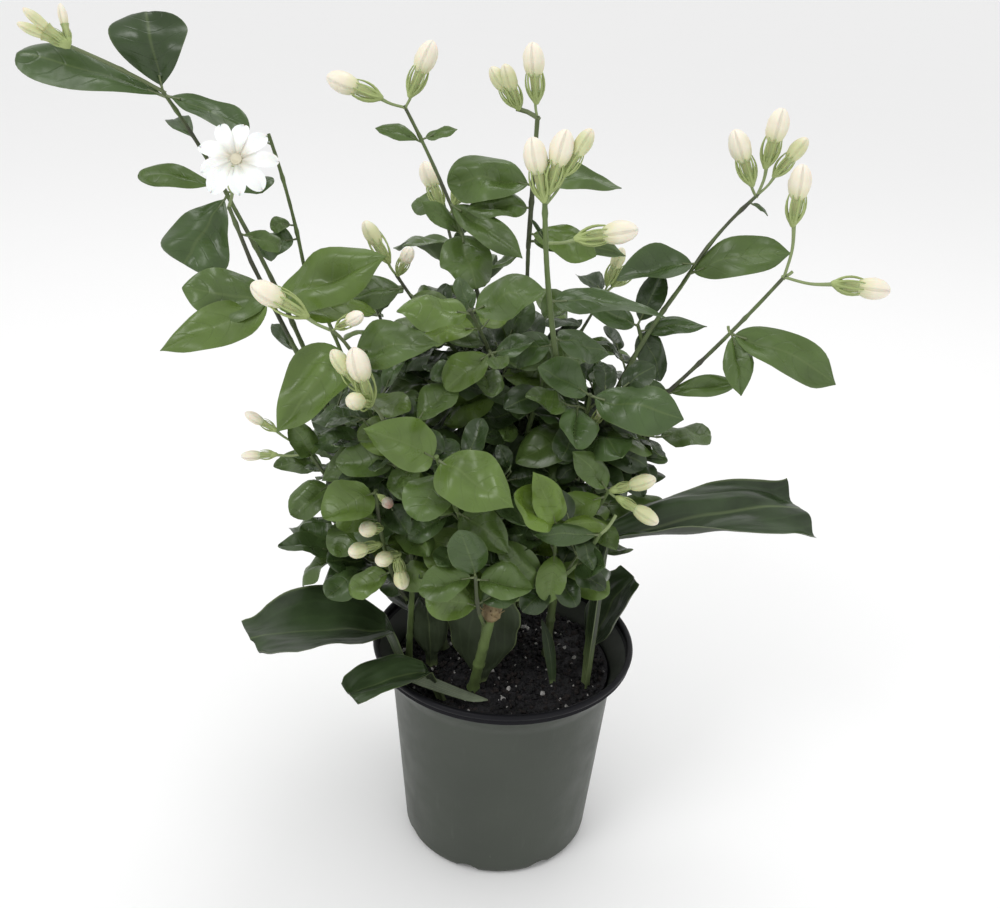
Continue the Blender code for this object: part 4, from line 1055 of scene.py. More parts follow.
def finely(path, step):
    """The same path with many points on a smooth curve."""
    count = max(4, round(path_length(path) / step))
    stops = [index * (len(path.points) - 1) / count for index in range(count + 1)]
    return Path([blended(path.points, stop) for stop in stops], [blended(path.radii, stop) for stop in stops])


def ring_faces(rings, sides):
    """The faces between closed rings, given by each ring's first vertex, and the two flat ends."""
    faces = []
    for first, last in zip(rings, rings[1:]):
        for turn in range(sides):
            beside = (turn + 1) % sides
            faces.append((first + turn, first + beside, last + beside, last + turn))
    faces.append(tuple(range(sides))[::-1])
    faces.append(tuple(range(rings[-1], rings[-1] + sides)))
    return faces


def add_round(build, path, sides, slot, relief=None):
    """A closed tube along a path. relief gives how far a place (turn, length so far) stands out."""
    vertices, places, rings = [], [], []
    side, length = None, 0.0
    for index, (point, radius) in enumerate(zip(path.points, path.radii)):
        ahead, behind = path.points[min(index + 1, len(path.points) - 1)], path.points[max(index - 1, 0)]
        axis = (ahead - behind).normalized()
        side = across(axis, side or FRONT)
        length += (point - behind).length if index else 0
        rings.append(len(vertices))
        for turn in range(sides):
            angle = 2 * math.pi * turn / sides
            out = side * math.cos(angle) + axis.cross(side) * math.sin(angle)
            stand = relief(angle, length, point) if relief else 0
            vertices.append(point + out * max(radius + stand, LEAST_RADIUS))
            places.append((turn / sides, length * MAP_SCALE))
    faces = ring_faces(rings, sides)
    build.add(vertices, places, faces, [slot] * len(faces))


LeafShape = collections.namedtuple("LeafShape", "curl twist fold droop wave phase rise fall tip sway lean")
# How wide for its length a leaf is when it starts to look blunt, and how much wider it is at its bluntest
BLUNT_FROM = 0.58
BLUNT_SPAN = 0.3
# A leaf's tip is drawn in from this share of its length on, and over this much of it
TIP_FROM = 0.78
TIP_SPAN = 0.2
# Sprays whose leaves are wedge-shaped at the stalk and broad towards the tip
WEDGE_SPRAYS = ("left_long_shoot", "left_flower_shoot")
WEDGE_RISE = 0.3
WEDGE_FALL = 0.6
# Sprays whose large leaves have this rise, fall and drawn-in tip
POINTED_SPRAYS = ("left_mid_shoot", "centre_front_shoot", "top_front_shoot")
POINTED_LEAF = (0.46, 0.92, 0.45)
# Sprays out in the light, whose small leaves are as bright as their large ones
LONE_SPRAYS = (*WEDGE_SPRAYS, "left_back_shoot", "top_left_shoot", "top_middle_shoot", "right_high_shoot",
               "right_low_shoot", "right_front_shoot", "left_front_shoot", "left_low_shoot")
# How far a leaf's face is puckered, as a share of its half width, and how deep its midrib lies
PUCKER = 0.55
MIDRIB_DEPTH = 0.5 * MM
MIDRIB_WIDTH = 0.12


def leaf_shape(leaf, draw, spray):
    """How one leaf differs from the flat blade: its bend, twist, fold, edge waves and outline."""
    blunt = held((leaf.width / leaf.length - BLUNT_FROM) / BLUNT_SPAN)
    rise, fall = draw.uniform(0.50, 0.82) - 0.1 * blunt, draw.uniform(0.62, 0.84) - 0.2 * blunt
    tip = 0.55 * (1 - blunt)
    if spray in WEDGE_SPRAYS:
        rise, fall, tip = rise + WEDGE_RISE, fall * WEDGE_FALL, 0.0
    elif spray in POINTED_SPRAYS and leaf.length > LARGE_LEAF:
        rise, fall, tip = POINTED_LEAF
    return LeafShape(
        curl=LEAF_CURL * draw.uniform(0.35, 1.7), twist=math.radians(draw.uniform(-26, 26)),
        fold=math.radians(draw.uniform(4, 26)), droop=draw.uniform(0.0, 0.24), wave=draw.uniform(0.04, 0.13),
        phase=draw.uniform(0, 2 * math.pi), rise=rise, fall=fall, tip=tip,
        sway=draw.uniform(-0.1, 0.1), lean=draw.uniform(-0.05, 0.05))


def leaf_half(shape, share):
    """Half the width of a leaf at a share of its length, as a share of its widest."""
    rise, fall = shape.rise, shape.fall
    most = rise / (rise + fall)
    top = most ** rise * (1 - most) ** fall
    share = min(max(share, 1e-4), 1 - 1e-4)
    pinch = held((share - TIP_FROM) / TIP_SPAN) ** 2 * shape.tip
    return share ** rise * (1 - share) ** fall / top * (1 - pinch)


def leaf_rows(leaf, shape, cells):
    """Rows of (point, normal, place) over the upper face of a leaf."""
    down, wide = cells
    rows = []
    side = leaf.out.cross(leaf.face)
    reach = (leaf.length + leaf.stalk * (0.9 - BLADE_START)) / shape.curl
    for row in range(down + 1):
        share = (1 - math.cos(math.pi * row / down)) / 2
        turn = shape.curl * share
        rib = leaf.root + leaf.out * (leaf.stalk * BLADE_START + reach * math.sin(turn))
        rib += side * leaf.length * shape.sway * share * share - leaf.face * reach * (1 - math.cos(turn))
        normal = leaf.face * math.cos(turn) + leaf.out * math.sin(turn)
        angle = shape.twist * share
        right = side * math.cos(angle) + normal * math.sin(angle)
        normal = normal * math.cos(angle) - side * math.sin(angle)
        half = max(leaf.width / 2 * leaf_half(shape, share), LEAF_STALK_RADIUS * (1 - share) + 0.05 * MM)
        line = []
        for column in range(wide + 1):
            spread = 2 * column / wide - 1
            spread = math.copysign(abs(spread) ** 1.15, spread)
            beside = spread * (1 + shape.lean * math.copysign(1, spread))
            wave = shape.wave * spread * spread * math.sin(8 * share + shape.phase + (2 if spread > 0 else 0))
            where = Vector((spread * 1.4, share * 2.6, shape.phase * 5))
            wave += noise.noise(where) * PUCKER * min(share * 4, 1)
            fold = abs(spread) * math.sin(shape.fold) * (1 - 0.5 * share)
            lift = half * (fold - shape.droop * spread ** 4 + wave)
            groove = MIDRIB_DEPTH * math.exp(-(spread / MIDRIB_WIDTH) ** 2) * (1 - share)
            point = rib + right * half * beside * math.cos(shape.fold) + normal * (lift - groove)
            line.append((point, normal, ((spread + 1) / 2, share)))
        rows.append(line)
    return rows


def put(tree, kind, inputs=None, **settings):
    """Adds a node. inputs maps an input's name or number to a value, or to another node's output."""
    made = tree.nodes.new(kind)
    for name, value in settings.items():
        setattr(made, name, value)
    for key, value in (inputs or {}).items():
        if isinstance(value, bpy.types.NodeSocket):
            tree.links.new(value, made.inputs[key])
        else:
            made.inputs[key].default_value = value
    return made


def output(tree, kind, inputs=None, **settings):
    """The first output of a new node."""
    return put(tree, kind, inputs, **settings).outputs[0]


def calc(tree, operation, *values):
    return output(tree, "ShaderNodeMath", dict(enumerate(values)), operation=operation)


def times(tree, first, second):
    return calc(tree, "MULTIPLY", first, second)


def random_value(tree, kind, inputs):
    """A random value of a node, FLOAT or FLOAT_VECTOR, between the limits that inputs give."""
    made = put(tree, "FunctionNodeRandomValue", inputs, data_type=kind)
    return made.outputs[1 if kind == "FLOAT" else 0]


def ramp(tree, value, low, high, first=0.0, last=1.0):
    """Maps a value between low and high to first and last, and holds it there outside."""
    inputs = {"Value": value, "From Min": low, "From Max": high, "To Min": first, "To Max": last}
    return output(tree, "ShaderNodeMapRange", inputs)


def mixed(tree, factor, first, second):
    """A colour between two colours, which are tuples or outputs."""
    inputs = {0: factor}
    for number, colour in ((6, first), (7, second)):
        inputs[number] = (*colour, 1) if isinstance(colour, tuple) else colour
    return put(tree, "ShaderNodeMix", inputs, data_type="RGBA").outputs[2]


def speckle(tree, scale, detail=3.0, stretch=None):
    """Noise on object coordinates, in metres."""
    where = put(tree, "ShaderNodeTexCoord").outputs["Object"]
    if stretch:
        where = output(tree, "ShaderNodeMapping", {"Vector": where, "Scale": stretch})
    return put(tree, "ShaderNodeTexNoise", {"Vector": where, "Scale": scale, "Detail": detail}).outputs["Fac"]


def surface_place(tree):
    """The outputs across and along of the piece's own map."""
    parts = put(tree, "ShaderNodeSeparateXYZ", {0: output(tree, "ShaderNodeUVMap", uv_map="surface")})
    return parts.outputs[0], parts.outputs[1]


def from_rib(tree, place):
    """How far a place across a blade is from its rib: 0 there and 1 at either edge."""
    return calc(tree, "ABSOLUTE", calc(tree, "MULTIPLY_ADD", place, 2.0, -1.0))


def bump(tree, height, distance, strength=1.0):
    inputs = {"Height": height, "Distance": distance, "Strength": strength}
    return output(tree, "ShaderNodeBump", inputs)


def wire(tree, shader, tint, normal=None, roughness=None):
    """Links a finish's colour, bump and roughness to its shader."""
    for name, source in (("Base Color", tint), ("Normal", normal), ("Roughness", roughness)):
        if source is not None:
            tree.links.new(source, shader.inputs[name])


def shaded(name, colour, roughness, more=None):
    """A material, its tree and its shader. more gives the values of more inputs of the shader."""
    made = bpy.data.materials.new(name)
    made.use_nodes = True
    shader = made.node_tree.nodes["Principled BSDF"]
    shader.inputs["Base Color"].default_value = (*colour, 1)
    shader.inputs["Roughness"].default_value = roughness
    for key, value in (more or {}).items():
        shader.inputs[key].default_value = value
    return made, made.node_tree, shader


def shade(colour, amount):
    return tuple(min(part * amount, 1) for part in colour)


def leaf_material(name, colour, under=False):
    """Leaf green with side veins and a midrib, from the leaf's own map."""
    made, tree, shader = shaded(name, colour, 0.62 if under else 0.4, {"Specular IOR Level": 0.4})
    place, share = surface_place(tree)
    spread = from_rib(tree, place)
    bowed = times(tree, calc(tree, "POWER", spread, 1.35), 1.5)
    vein = calc(tree, "SUBTRACT", times(tree, share, 6.0), bowed)
    vein = calc(tree, "ABSOLUTE", calc(tree, "SUBTRACT", calc(tree, "FRACT", vein), 0.5))
    edge = ramp(tree, spread, 0.45, 0.95, 1.0, 0.0)
    line = times(tree, ramp(tree, vein, 0.42, 0.5), edge)
    rib = ramp(tree, spread, 0.015, 0.06, 1.0, 0.0)
    patches = speckle(tree, 55.0)
    tint = mixed(tree, ramp(tree, patches, 0.3, 0.7), shade(colour, 0.80), shade(colour, 1.2))
    tint = mixed(tree, times(tree, line, 0.22), tint, shade(colour, 1.3 if under else 0.6))
    pale = tuple(part * 0.6 + other for part, other in zip(colour, (0.055, 0.075, 0.025)))
    margin = ramp(tree, spread, 0.94, 1.0, 0.0, 0.7)
    tint = mixed(tree, calc(tree, "MAXIMUM", times(tree, rib, 0.75), margin), tint, pale)
    quilt = times(tree, line, 0.2 if under else -0.2)
    height = calc(tree, "ADD", quilt, times(tree, speckle(tree, 110.0, 2.0), 1.6))
    gloss = (0.55, 0.7) if under else (0.24, 0.40)
    normal = bump(tree, height, 0.5 * MM, 0.7)
    wire(tree, shader, tint, normal, ramp(tree, speckle(tree, 130.0), 0.3, 0.7, *gloss))
    return made


def bark_material(name, young, old):
    """Thin bark, streaked along the stem, from green to brown."""
    made, tree, shader = shaded(name, young, 0.6)
    streaks = speckle(tree, 260.0, 5.0, (1.0, 1.0, 0.12))
    patches = speckle(tree, 40.0, 2.0)
    mix = calc(tree, "ADD", times(tree, streaks, 0.6), times(tree, patches, 0.5))
    tint = mixed(tree, ramp(tree, mix, 0.42, 0.66), young, old)
    wire(tree, shader, tint, bump(tree, streaks, 0.25 * MM), ramp(tree, patches, 0.3, 0.7, 0.5, 0.75))
    return made


def plain_green(name, colour, roughness=0.5):
    """The skin of green stalks and calyxes, with a faint mottle."""
    made, tree, shader = shaded(name, colour, roughness)
    wire(tree, shader, mixed(tree, speckle(tree, 180.0), shade(colour, 0.75), shade(colour, 1.25)))
    return made


def petal_material(name, foot, body, tip, roughness=0.45):
    """Petal skin whose colour runs from foot to tip, with fine lengthwise lines."""
    made, tree, shader = shaded(name, body, roughness, {"Subsurface Weight": 0.15, "Subsurface Scale": 0.003})
    place, share = surface_place(tree)
    tint = mixed(tree, ramp(tree, share, 0.0, 0.45), foot, body)
    tint = mixed(tree, ramp(tree, share, 0.6, 1.0), tint, tip)
    patches = speckle(tree, 230.0)
    tint = mixed(tree, ramp(tree, patches, 0.35, 0.75, 0.0, 0.25), tint, shade(body, 0.86))
    lines = calc(tree, "SINE", times(tree, place, 70.0))
    height = calc(tree, "ADD", times(tree, lines, 0.3), speckle(tree, 600.0))
    wire(tree, shader, tint, bump(tree, height, 0.12 * MM, 0.7))
    return made


def node_tree(name, **inputs):
    """An empty Geometry Nodes tree with a geometry input, named inputs (type, default) and an output."""
    tree = bpy.data.node_groups.new(name, "GeometryNodeTree")
    tree.interface.new_socket("Geometry", in_out="INPUT", socket_type="NodeSocketGeometry")
    for label, (kind, default) in inputs.items():
        label = label.replace("_", " ")
        socket = tree.interface.new_socket(label, in_out="INPUT", socket_type=f"NodeSocket{kind}")
        socket.default_value = default
    tree.interface.new_socket("Geometry", in_out="OUTPUT", socket_type="NodeSocketGeometry")
    return tree, put(tree, "NodeGroupInput").outputs


def end_tree(tree, instances, material, roughen=None):
    """Ends a tree: instances realized, roughened by noise where asked, and given their material."""
    plain = output(tree, "GeometryNodeRealizeInstances", {0: instances})
    if roughen:
        scale, amount = roughen
        noise_at = put(tree, "ShaderNodeTexNoise", {"Scale": scale, "Detail": 1.0}).outputs["Color"]
        halves = {0: noise_at, 1: (0.5, 0.5, 0.5)}
        centred = output(tree, "ShaderNodeVectorMath", halves, operation="SUBTRACT")
        moved = output(tree, "ShaderNodeVectorMath", {0: centred, "Scale": amount}, operation="SCALE")
        plain = output(tree, "GeometryNodeSetPosition", {"Geometry": plain, "Offset": moved})
    dressed = output(tree, "GeometryNodeSetMaterial", {"Geometry": plain, "Material": material})
    put(tree, "NodeGroupOutput", {0: dressed})


def run_tree(carrier, tree, name, **values):
    """Runs a tree on a carrier object and gives the result as a plain mesh. The carrier is removed."""
    modifier = carrier.modifiers.new("nodes", "NODES")
    modifier.node_group = tree
    for item in tree.interface.items_tree:
        label = item.name.replace(" ", "_")
        if item.item_type == "SOCKET" and item.in_out == "INPUT" and label in values:
            modifier[item.identifier] = values[label]
    evaluated = carrier.evaluated_get(bpy.context.evaluated_depsgraph_get())
    mesh = bpy.data.meshes.new_from_object(evaluated)
    mesh.name = name
    bpy.data.objects.remove(carrier)
    return mesh


def even_turn(tree, count):
    """How far each of count copies is turned to stand evenly in a ring, from its index."""
    index = output(tree, "GeometryNodeInputIndex")
    return calc(tree, "DIVIDE", times(tree, index, 2 * math.pi), count)


def turned_copies(tree, count, instance, turn, size=(1.0, 1.0, 1.0)):
    """Instances at the origin, each turned and scaled by values that may read its index."""
    stack = output(tree, "GeometryNodeMeshLine", {"Count": count, "Offset": (0.0, 0.0, 0.0)})
    inputs = {"Points": stack, "Instance": instance, "Rotation": turn, "Scale": size}
    return output(tree, "GeometryNodeInstanceOnPoints", inputs)


def calyx_tree(material):
    """A ring of thin calyx lobes that arch out and up, on each bud's point, along its aim."""
    tree, given = node_tree("calyx_lobes", Lobes=("Int", 8), Length=("Float", 9 * MM),
                            Thickness=("Float", 0.42 * MM), Cup=("Float", 1.5 * MM), Swell=("Float", 2.2))
    cup, length = given["Cup"], given["Length"]
    bends = ((times(tree, cup, 0.8), -1.2 * MM),
             (times(tree, cup, given["Swell"]), times(tree, length, 0.35)),
             (times(tree, cup, 1.6), length))
    start, middle, end = (output(tree, "ShaderNodeCombineXYZ", {0: out, 2: up}) for out, up in bends)
    lobe = output(tree, "GeometryNodeCurveQuadraticBezier",
                  {"Resolution": 6, "Start": start, "Middle": middle, "End": end})
    share = put(tree, "GeometryNodeSplineParameter").outputs["Factor"]
    taper = ramp(tree, share, 0.0, 1.0, 1.5, 0.4)
    circle = {"Resolution": 5, "Radius": given["Thickness"]}
    section = output(tree, "GeometryNodeCurvePrimitiveCircle", circle)
    sweep = {"Curve": lobe, "Profile Curve": section, "Scale": taper, "Fill Caps": True}
    swept = output(tree, "GeometryNodeCurveToMesh", sweep)
    turn = even_turn(tree, given["Lobes"])
    jitter = random_value(tree, "FLOAT", {2: -0.12, 3: 0.12, "Seed": 5})
    spin = output(tree, "ShaderNodeCombineXYZ", {1: jitter, 2: turn})
    copies = turned_copies(tree, given["Lobes"], swept, spin)
    ring = output(tree, "GeometryNodeRealizeInstances", {0: copies})
    aim = output(tree, "GeometryNodeInputNamedAttribute", {"Name": "aim"}, data_type="FLOAT_VECTOR")
    size = output(tree, "GeometryNodeInputNamedAttribute", {"Name": "size"}, data_type="FLOAT")
    stand = output(tree, "FunctionNodeAlignRotationToVector", {"Vector": aim}, axis="Z")
    on_buds = {"Points": given["Geometry"], "Instance": ring, "Rotation": stand, "Scale": size}
    end_tree(tree, output(tree, "GeometryNodeInstanceOnPoints", on_buds), material)
    return tree


def crumb_tree(name, material, roughness):
    """Crumbs of uneven size scattered over a surface."""
    tree, given = node_tree(name, Density=("Float", 30000.0), Smallest=("Float", 0.4 * MM),
                            Largest=("Float", 1.5 * MM), Seed=("Int", 1))
    spots = {"Mesh": given["Geometry"], "Density": given["Density"], "Seed": given["Seed"]}
    points = output(tree, "GeometryNodeDistributePointsOnFaces", spots)
    crumb = output(tree, "GeometryNodeMeshIcoSphere", {"Radius": 1.0, "Subdivisions": 1})
    size = random_value(tree, "FLOAT", {2: given["Smallest"], 3: given["Largest"], "Seed": given["Seed"]})
    flat = random_value(tree, "FLOAT_VECTOR", {0: (0.6, 0.6, 0.5), 1: (1.2, 1.2, 1.0), "Seed": 3})
    scale = output(tree, "ShaderNodeVectorMath", {0: flat, "Scale": size}, operation="SCALE")
    turn = random_value(tree, "FLOAT_VECTOR", {1: (6.3, 6.3, 6.3), "Seed": 4})
    scattered = {"Points": points, "Instance": crumb, "Rotation": turn, "Scale": scale}
    crumbs = output(tree, "GeometryNodeInstanceOnPoints", scattered)
    end_tree(tree, crumbs, material, (CRUMB_GRAIN, roughness))
    return tree


def petal_tree(material):
    """Petals in a ring, each a little turned and tipped by its own amount."""
    tree, given = node_tree("petal_ring", Petals=("Int", 9), Tip=("Float", 0.12), Uneven=("Float", 0.12),
                            Seed=("Int", 7))
    low = times(tree, given["Uneven"], -1.0)
    draws = []
    for number in range(3):
        seed = calc(tree, "ADD", given["Seed"], float(number * 11))
        draws.append(random_value(tree, "FLOAT", {2: low, 3: given["Uneven"], "Seed": seed}))
    turn = even_turn(tree, given["Petals"])
    spin = output(tree, "ShaderNodeCombineXYZ", {0: times(tree, draws[0], 1.6),
                                                 1: calc(tree, "ADD", draws[1], given["Tip"]),
                                                 2: calc(tree, "ADD", draws[2], turn)})
    size = random_value(tree, "FLOAT_VECTOR", {0: (0.88, 0.8, 1.0), 1: (1.06, 1.2, 1.0), "Seed": 21})
    end_tree(tree, turned_copies(tree, given["Petals"], given["Geometry"], spin, size), material)
    return tree


def colour_setting(name, description, default):
    return bpy.props.FloatVectorProperty(name=name, description=description, default=default, subtype="COLOR",
                                         size=3, min=0, max=1)


def number_setting(name, description, default, least=0, **more):
    return bpy.props.FloatProperty(name=name, description=description, default=default, min=least, **more)


def length_setting(name, description, default):
    return number_setting(name, description, default, unit="LENGTH")


def angle_setting(name, description, degrees):
    return bpy.props.FloatProperty(name=name, description=description, default=math.radians(degrees),
                                   subtype="ANGLE")


def count_setting(name, description, default, least, most):
    return bpy.props.IntProperty(name=name, description=description, default=default, min=least, max=most)


class JasmineFoliage(bpy.types.PropertyGroup):
    """Colours of the leaves, twigs and stems."""

    # The inner green is painted shade: a darker green for the small leaves inside the crown
    inner: colour_setting("Inner green", "Small shaded leaves inside the crown", (0.026, 0.048, 0.013))
    deep: colour_setting("Deep green", "Old outer leaves", (0.050, 0.088, 0.024))
    mid: colour_setting("Mid green", "Most leaves", (0.070, 0.116, 0.026))
    fresh: colour_setting("Fresh green", "Younger leaves", (0.092, 0.148, 0.028))
    light: colour_setting("Light green", "The youngest, yellowish leaves", (0.115, 0.185, 0.026))
    under: colour_setting("Underside", "Pale lower face of a leaf", (0.120, 0.165, 0.075))
    old: colour_setting("Old leaf", "Broad old leaves from the soil", (0.032, 0.054, 0.020))
    old_under: colour_setting("Old leaf underside", "Lower face of the old leaves", (0.030, 0.042, 0.020))
    sheath: colour_setting("Sheath", "Pale dry sheath of an old leaf", (0.190, 0.225, 0.150))
    bark: colour_setting("Bark", "Woody stems and boughs", (0.046, 0.050, 0.029))
    green_bark: colour_setting("Green bark", "Young stems", (0.120, 0.175, 0.050))
    stalk: colour_setting("Stalk", "Leaf and flower stalks", (0.210, 0.265, 0.110))


class JasmineBlossom(bpy.types.PropertyGroup):
    """Sizes and colours of the buds and the flower."""

    bulb: length_setting("Bulb radius", "Widest radius of a full bud", 4.1 * MM)
    petals: count_setting("Petals", "Petals in the open flower", 9, 5, 12)
    petal_length: length_setting("Petal length", "From the throat to a petal's tip", 12.6 * MM)
    petal_width: length_setting("Petal width", "Widest part of a petal", 7.0 * MM)
    lobes: count_setting("Calyx lobes", "Thin lobes round each bud", 8, 4, 12)
    cream: colour_setting("Bud cream", "Middle of a bud", (0.80, 0.75, 0.60))
    foot: colour_setting("Bud foot", "Where a bud leaves its tube", (0.62, 0.63, 0.34))
    tip: colour_setting("Bud tip", "Tip of a bud", (0.86, 0.81, 0.70))
    white: colour_setting("Petal white", "Open petals", (0.93, 0.93, 0.91))
    throat: colour_setting("Throat", "Middle of the open flower", (0.58, 0.54, 0.40))
    calyx: colour_setting("Calyx", "Calyx cups and lobes", (0.330, 0.400, 0.150))


class JasminePot(bpy.types.PropertyGroup):
    """Colours of the pot and the soil in it, and the soil's crumbs."""

    plastic: colour_setting("Pot plastic", "Outside of the pot", (0.048, 0.055, 0.044))
    lip: colour_setting("Pot lip", "Rim and inside of the pot", (0.007, 0.007, 0.009))
    peat: colour_setting("Peat", "Moist soil", (0.009, 0.008, 0.010))
    bark_crumbs: colour_setting("Bark crumbs", "Brown crumbs in the soil", (0.024, 0.016, 0.015))
    white_crumbs: colour_setting("White crumbs", "White grains in the soil", (0.66, 0.64, 0.62))
    white_density: number_setting("White grains", "White grains in a square metre", 20000)
    bark_density: number_setting("Bark crumbs", "Brown crumbs in a square metre", 95000)


class JasmineStudio(bpy.types.PropertyGroup):
    """Camera, lamps and floor."""

    eye: bpy.props.FloatVectorProperty(name="Camera", description="Where the camera stands", size=3,
                                       default=(-0.0049, -0.4078, 0.3715), subtype="XYZ", unit="LENGTH")
    pitch: angle_setting("Pitch", "How far the camera looks down", 24.5)
    roll: angle_setting("Roll", "How far the camera leans", 2.5)
    focal: number_setting("Focal length", "Lens on a 36 mm sensor, in millimetres", 39.6, 1)
    floor: colour_setting("Floor", "Plain pale floor", (0.95, 0.95, 0.95))
    sky: number_setting("Sky", "Strength of the even light from all round", 0.90)
    key: number_setting("Key", "Power of the main lamp", 4.4, unit="POWER")
    fill: number_setting("Fill", "Power of the front lamp", 1, unit="POWER")


GROUP_CLASSES = (JasmineFoliage, JasmineBlossom, JasminePot, JasmineStudio)
PLACES = ("jasmine_foliage", "jasmine_blossom", "jasmine_pot", "jasmine_studio")


def settings(group):
    return getattr(bpy.context.scene, f"jasmine_{group}")


def colour(group, name):
    return tuple(getattr(settings(group), name))


@functools.cache
def materials():
    """The materials that several pieces share, by name."""
    made = {name: leaf_material(f"leaf_{name}", colour("foliage", name)) for name in GREENS}
    made["under"] = leaf_material("leaf_underside", colour("foliage", "under"), under=True)
    bark, green = colour("foliage", "bark"), colour("foliage", "green_bark")
    made["bark"] = bark_material("stem_bark", shade(green, 0.75), bark)
    made["green_bark"] = bark_material("green_stem", green, shade(green, 0.6))
    made["stalk"] = plain_green("flower_stalk", colour("foliage", "stalk"))
    made["leaf_stalk"] = plain_green("leaf_stalk", shade(colour("foliage", "stalk"), 0.55))
    made["calyx"] = plain_green("calyx_green", colour("blossom", "calyx"))
    cream, foot, tip = (colour("blossom", name) for name in ("cream", "foot", "tip"))
    made["bulb"] = petal_material("bud_petals", foot, cream, tip)
    made["slim_bud"] = petal_material("slim_bud", foot, (0.58, 0.60, 0.34), cream)
    made["young_bud"] = petal_material("young_bud", foot, shade(cream, 0.5), (0.30, 0.16, 0.12))
    made["tube"] = petal_material("bud_tube", colour("blossom", "calyx"), shade(foot, 0.9), foot)
    return made


# Bark: ridges round a limb and a twig, a twig's roughness, the end radius of a limb whose roughness is 1,
# the most roughness, and how far along a stem its leaf joints are drawn
LIMB_RIDGES = 6
TWIG_RIDGES = 3
TWIG_ROUGHNESS = 0.6
ROUGH_RADIUS = 1.6 * MM
MOST_ROUGHNESS = 1.2
LONGEST_STEM = 0.4
# The tan joint of the front stem: (height, radius) about the stem's end, in millimetres
JOINT_PROFILE = ((-7, 2.35), (-5.5, 3.0), (-4, 3.5), (-2, 3.3), (0, 3.4), (1.5, 3.0), (2.6, 2.0), (3.2, 0.5))
JOINT_SIDES = 26
FIBRE_COUNT = 16
FIBRE_RADII = (0.3 * MM, 0.22 * MM, 0.1 * MM)


def bark_relief(name, ridge_count, strength):
    """Relief for a stem: fine ridges along it, uneven swelling, and a low ring at each old leaf joint."""
    draw = random.Random(name)
    rings, place = [], draw.uniform(12, 24) * MM
    while place < LONGEST_STEM:
        rings.append(place)
        place += draw.uniform(17, 34) * MM
    turn = draw.uniform(0, 6)

    def relief(angle, length, point):
        ridges = math.sin(ridge_count * angle + turn + 30 * length) * 0.05 * MM
        rough = noise.noise(point * 420) * 0.16 * MM + noise.noise(point * 130) * 0.12 * MM
        joint = sum(math.exp(-((length - ring) / (1.3 * MM)) ** 2) for ring in rings) * 0.45 * MM
        return (ridges + rough + joint) * strength

    return relief


class JASMINE_OT_limbs(bpy.types.Operator):
    """Gives every stem and bough its bark, with ridges and leaf joints"""

    bl_idname = "jasmine.limbs"
    bl_label = "Stems and boughs"

    def execute(self, context):
        paths, _ = grow()
        for limb in LIMBS:
            build = Build()
            strength = min(paths[limb.name].radii[-1] / ROUGH_RADIUS, MOST_ROUGHNESS)
            path = finely(paths[limb.name], LIMB_FINE_STEP)
            add_round(build, path, LIMB_FINE_SIDES, 0, bark_relief(limb.name, LIMB_RIDGES, strength))
            bark = materials()["green_bark" if limb.name in GREEN_STEMS else "bark"]
            keep(build.piece(f"{limb.name}_bark", [bark]), "stem_bark", limb.name)
        self.node_on_front_stem(paths["stem_front"])
        return {"FINISHED"}

    @staticmethod
    def node_on_front_stem(path):
        """The tan, fibrous joint where the thick front stem was once cut back."""
        build = Build()
        tip = path.points[-1]
        axis = (tip - path.points[-2]).normalized()
        collar = Path([tip + axis * height * MM for height, _ in JOINT_PROFILE],
                      [radius * MM for _, radius in JOINT_PROFILE])

        def relief(angle, length, point):
            return (noise.noise(point * 700) * 0.9 + abs(math.sin(angle * 5 + length * 900)) * 0.5) * MM

        add_round(build, finely(collar, 0.5 * MM), JOINT_SIDES, 0, relief)
        draw = random.Random("fibres")
        for _ in range(FIBRE_COUNT):
            angle = draw.uniform(0, 2 * math.pi)
            out = across(axis, Vector((math.cos(angle), math.sin(angle), 0)))
            root = tip + out * 2.4 * MM - axis * draw.uniform(0, 4) * MM
            aim = out * draw.uniform(0.4, 1.4) + axis * draw.uniform(0.5, 1.6) + FRONT * 0.3
            end = root + aim * 2.6 * MM
            bend = (root + end) / 2 + Vector((draw.uniform(-1, 1), draw.uniform(-1, 1), 0)) * MM
            add_round(build, finely(Path([root, bend, end], FIBRE_RADII), 0.8 * MM), 5, 0)
        dry = bark_material("dry_fibre", (0.30, 0.235, 0.105), (0.115, 0.075, 0.035))
        keep(build.piece("front_stem_joint", [dry]), "stem_bark")


# A twig thicker than a flower stalk by this factor has bark
BARK_FROM = 1.15
# How far inside what carries it a twig or a flower stalk begins
TWIG_SUNK = 1.2 * MM
FLOWER_STALK_SUNK = 0.6 * MM
FLOWER_STALK_RADIUS = 0.62 * MM
LEAST_FLOWER_STALK = 0.3 * MM


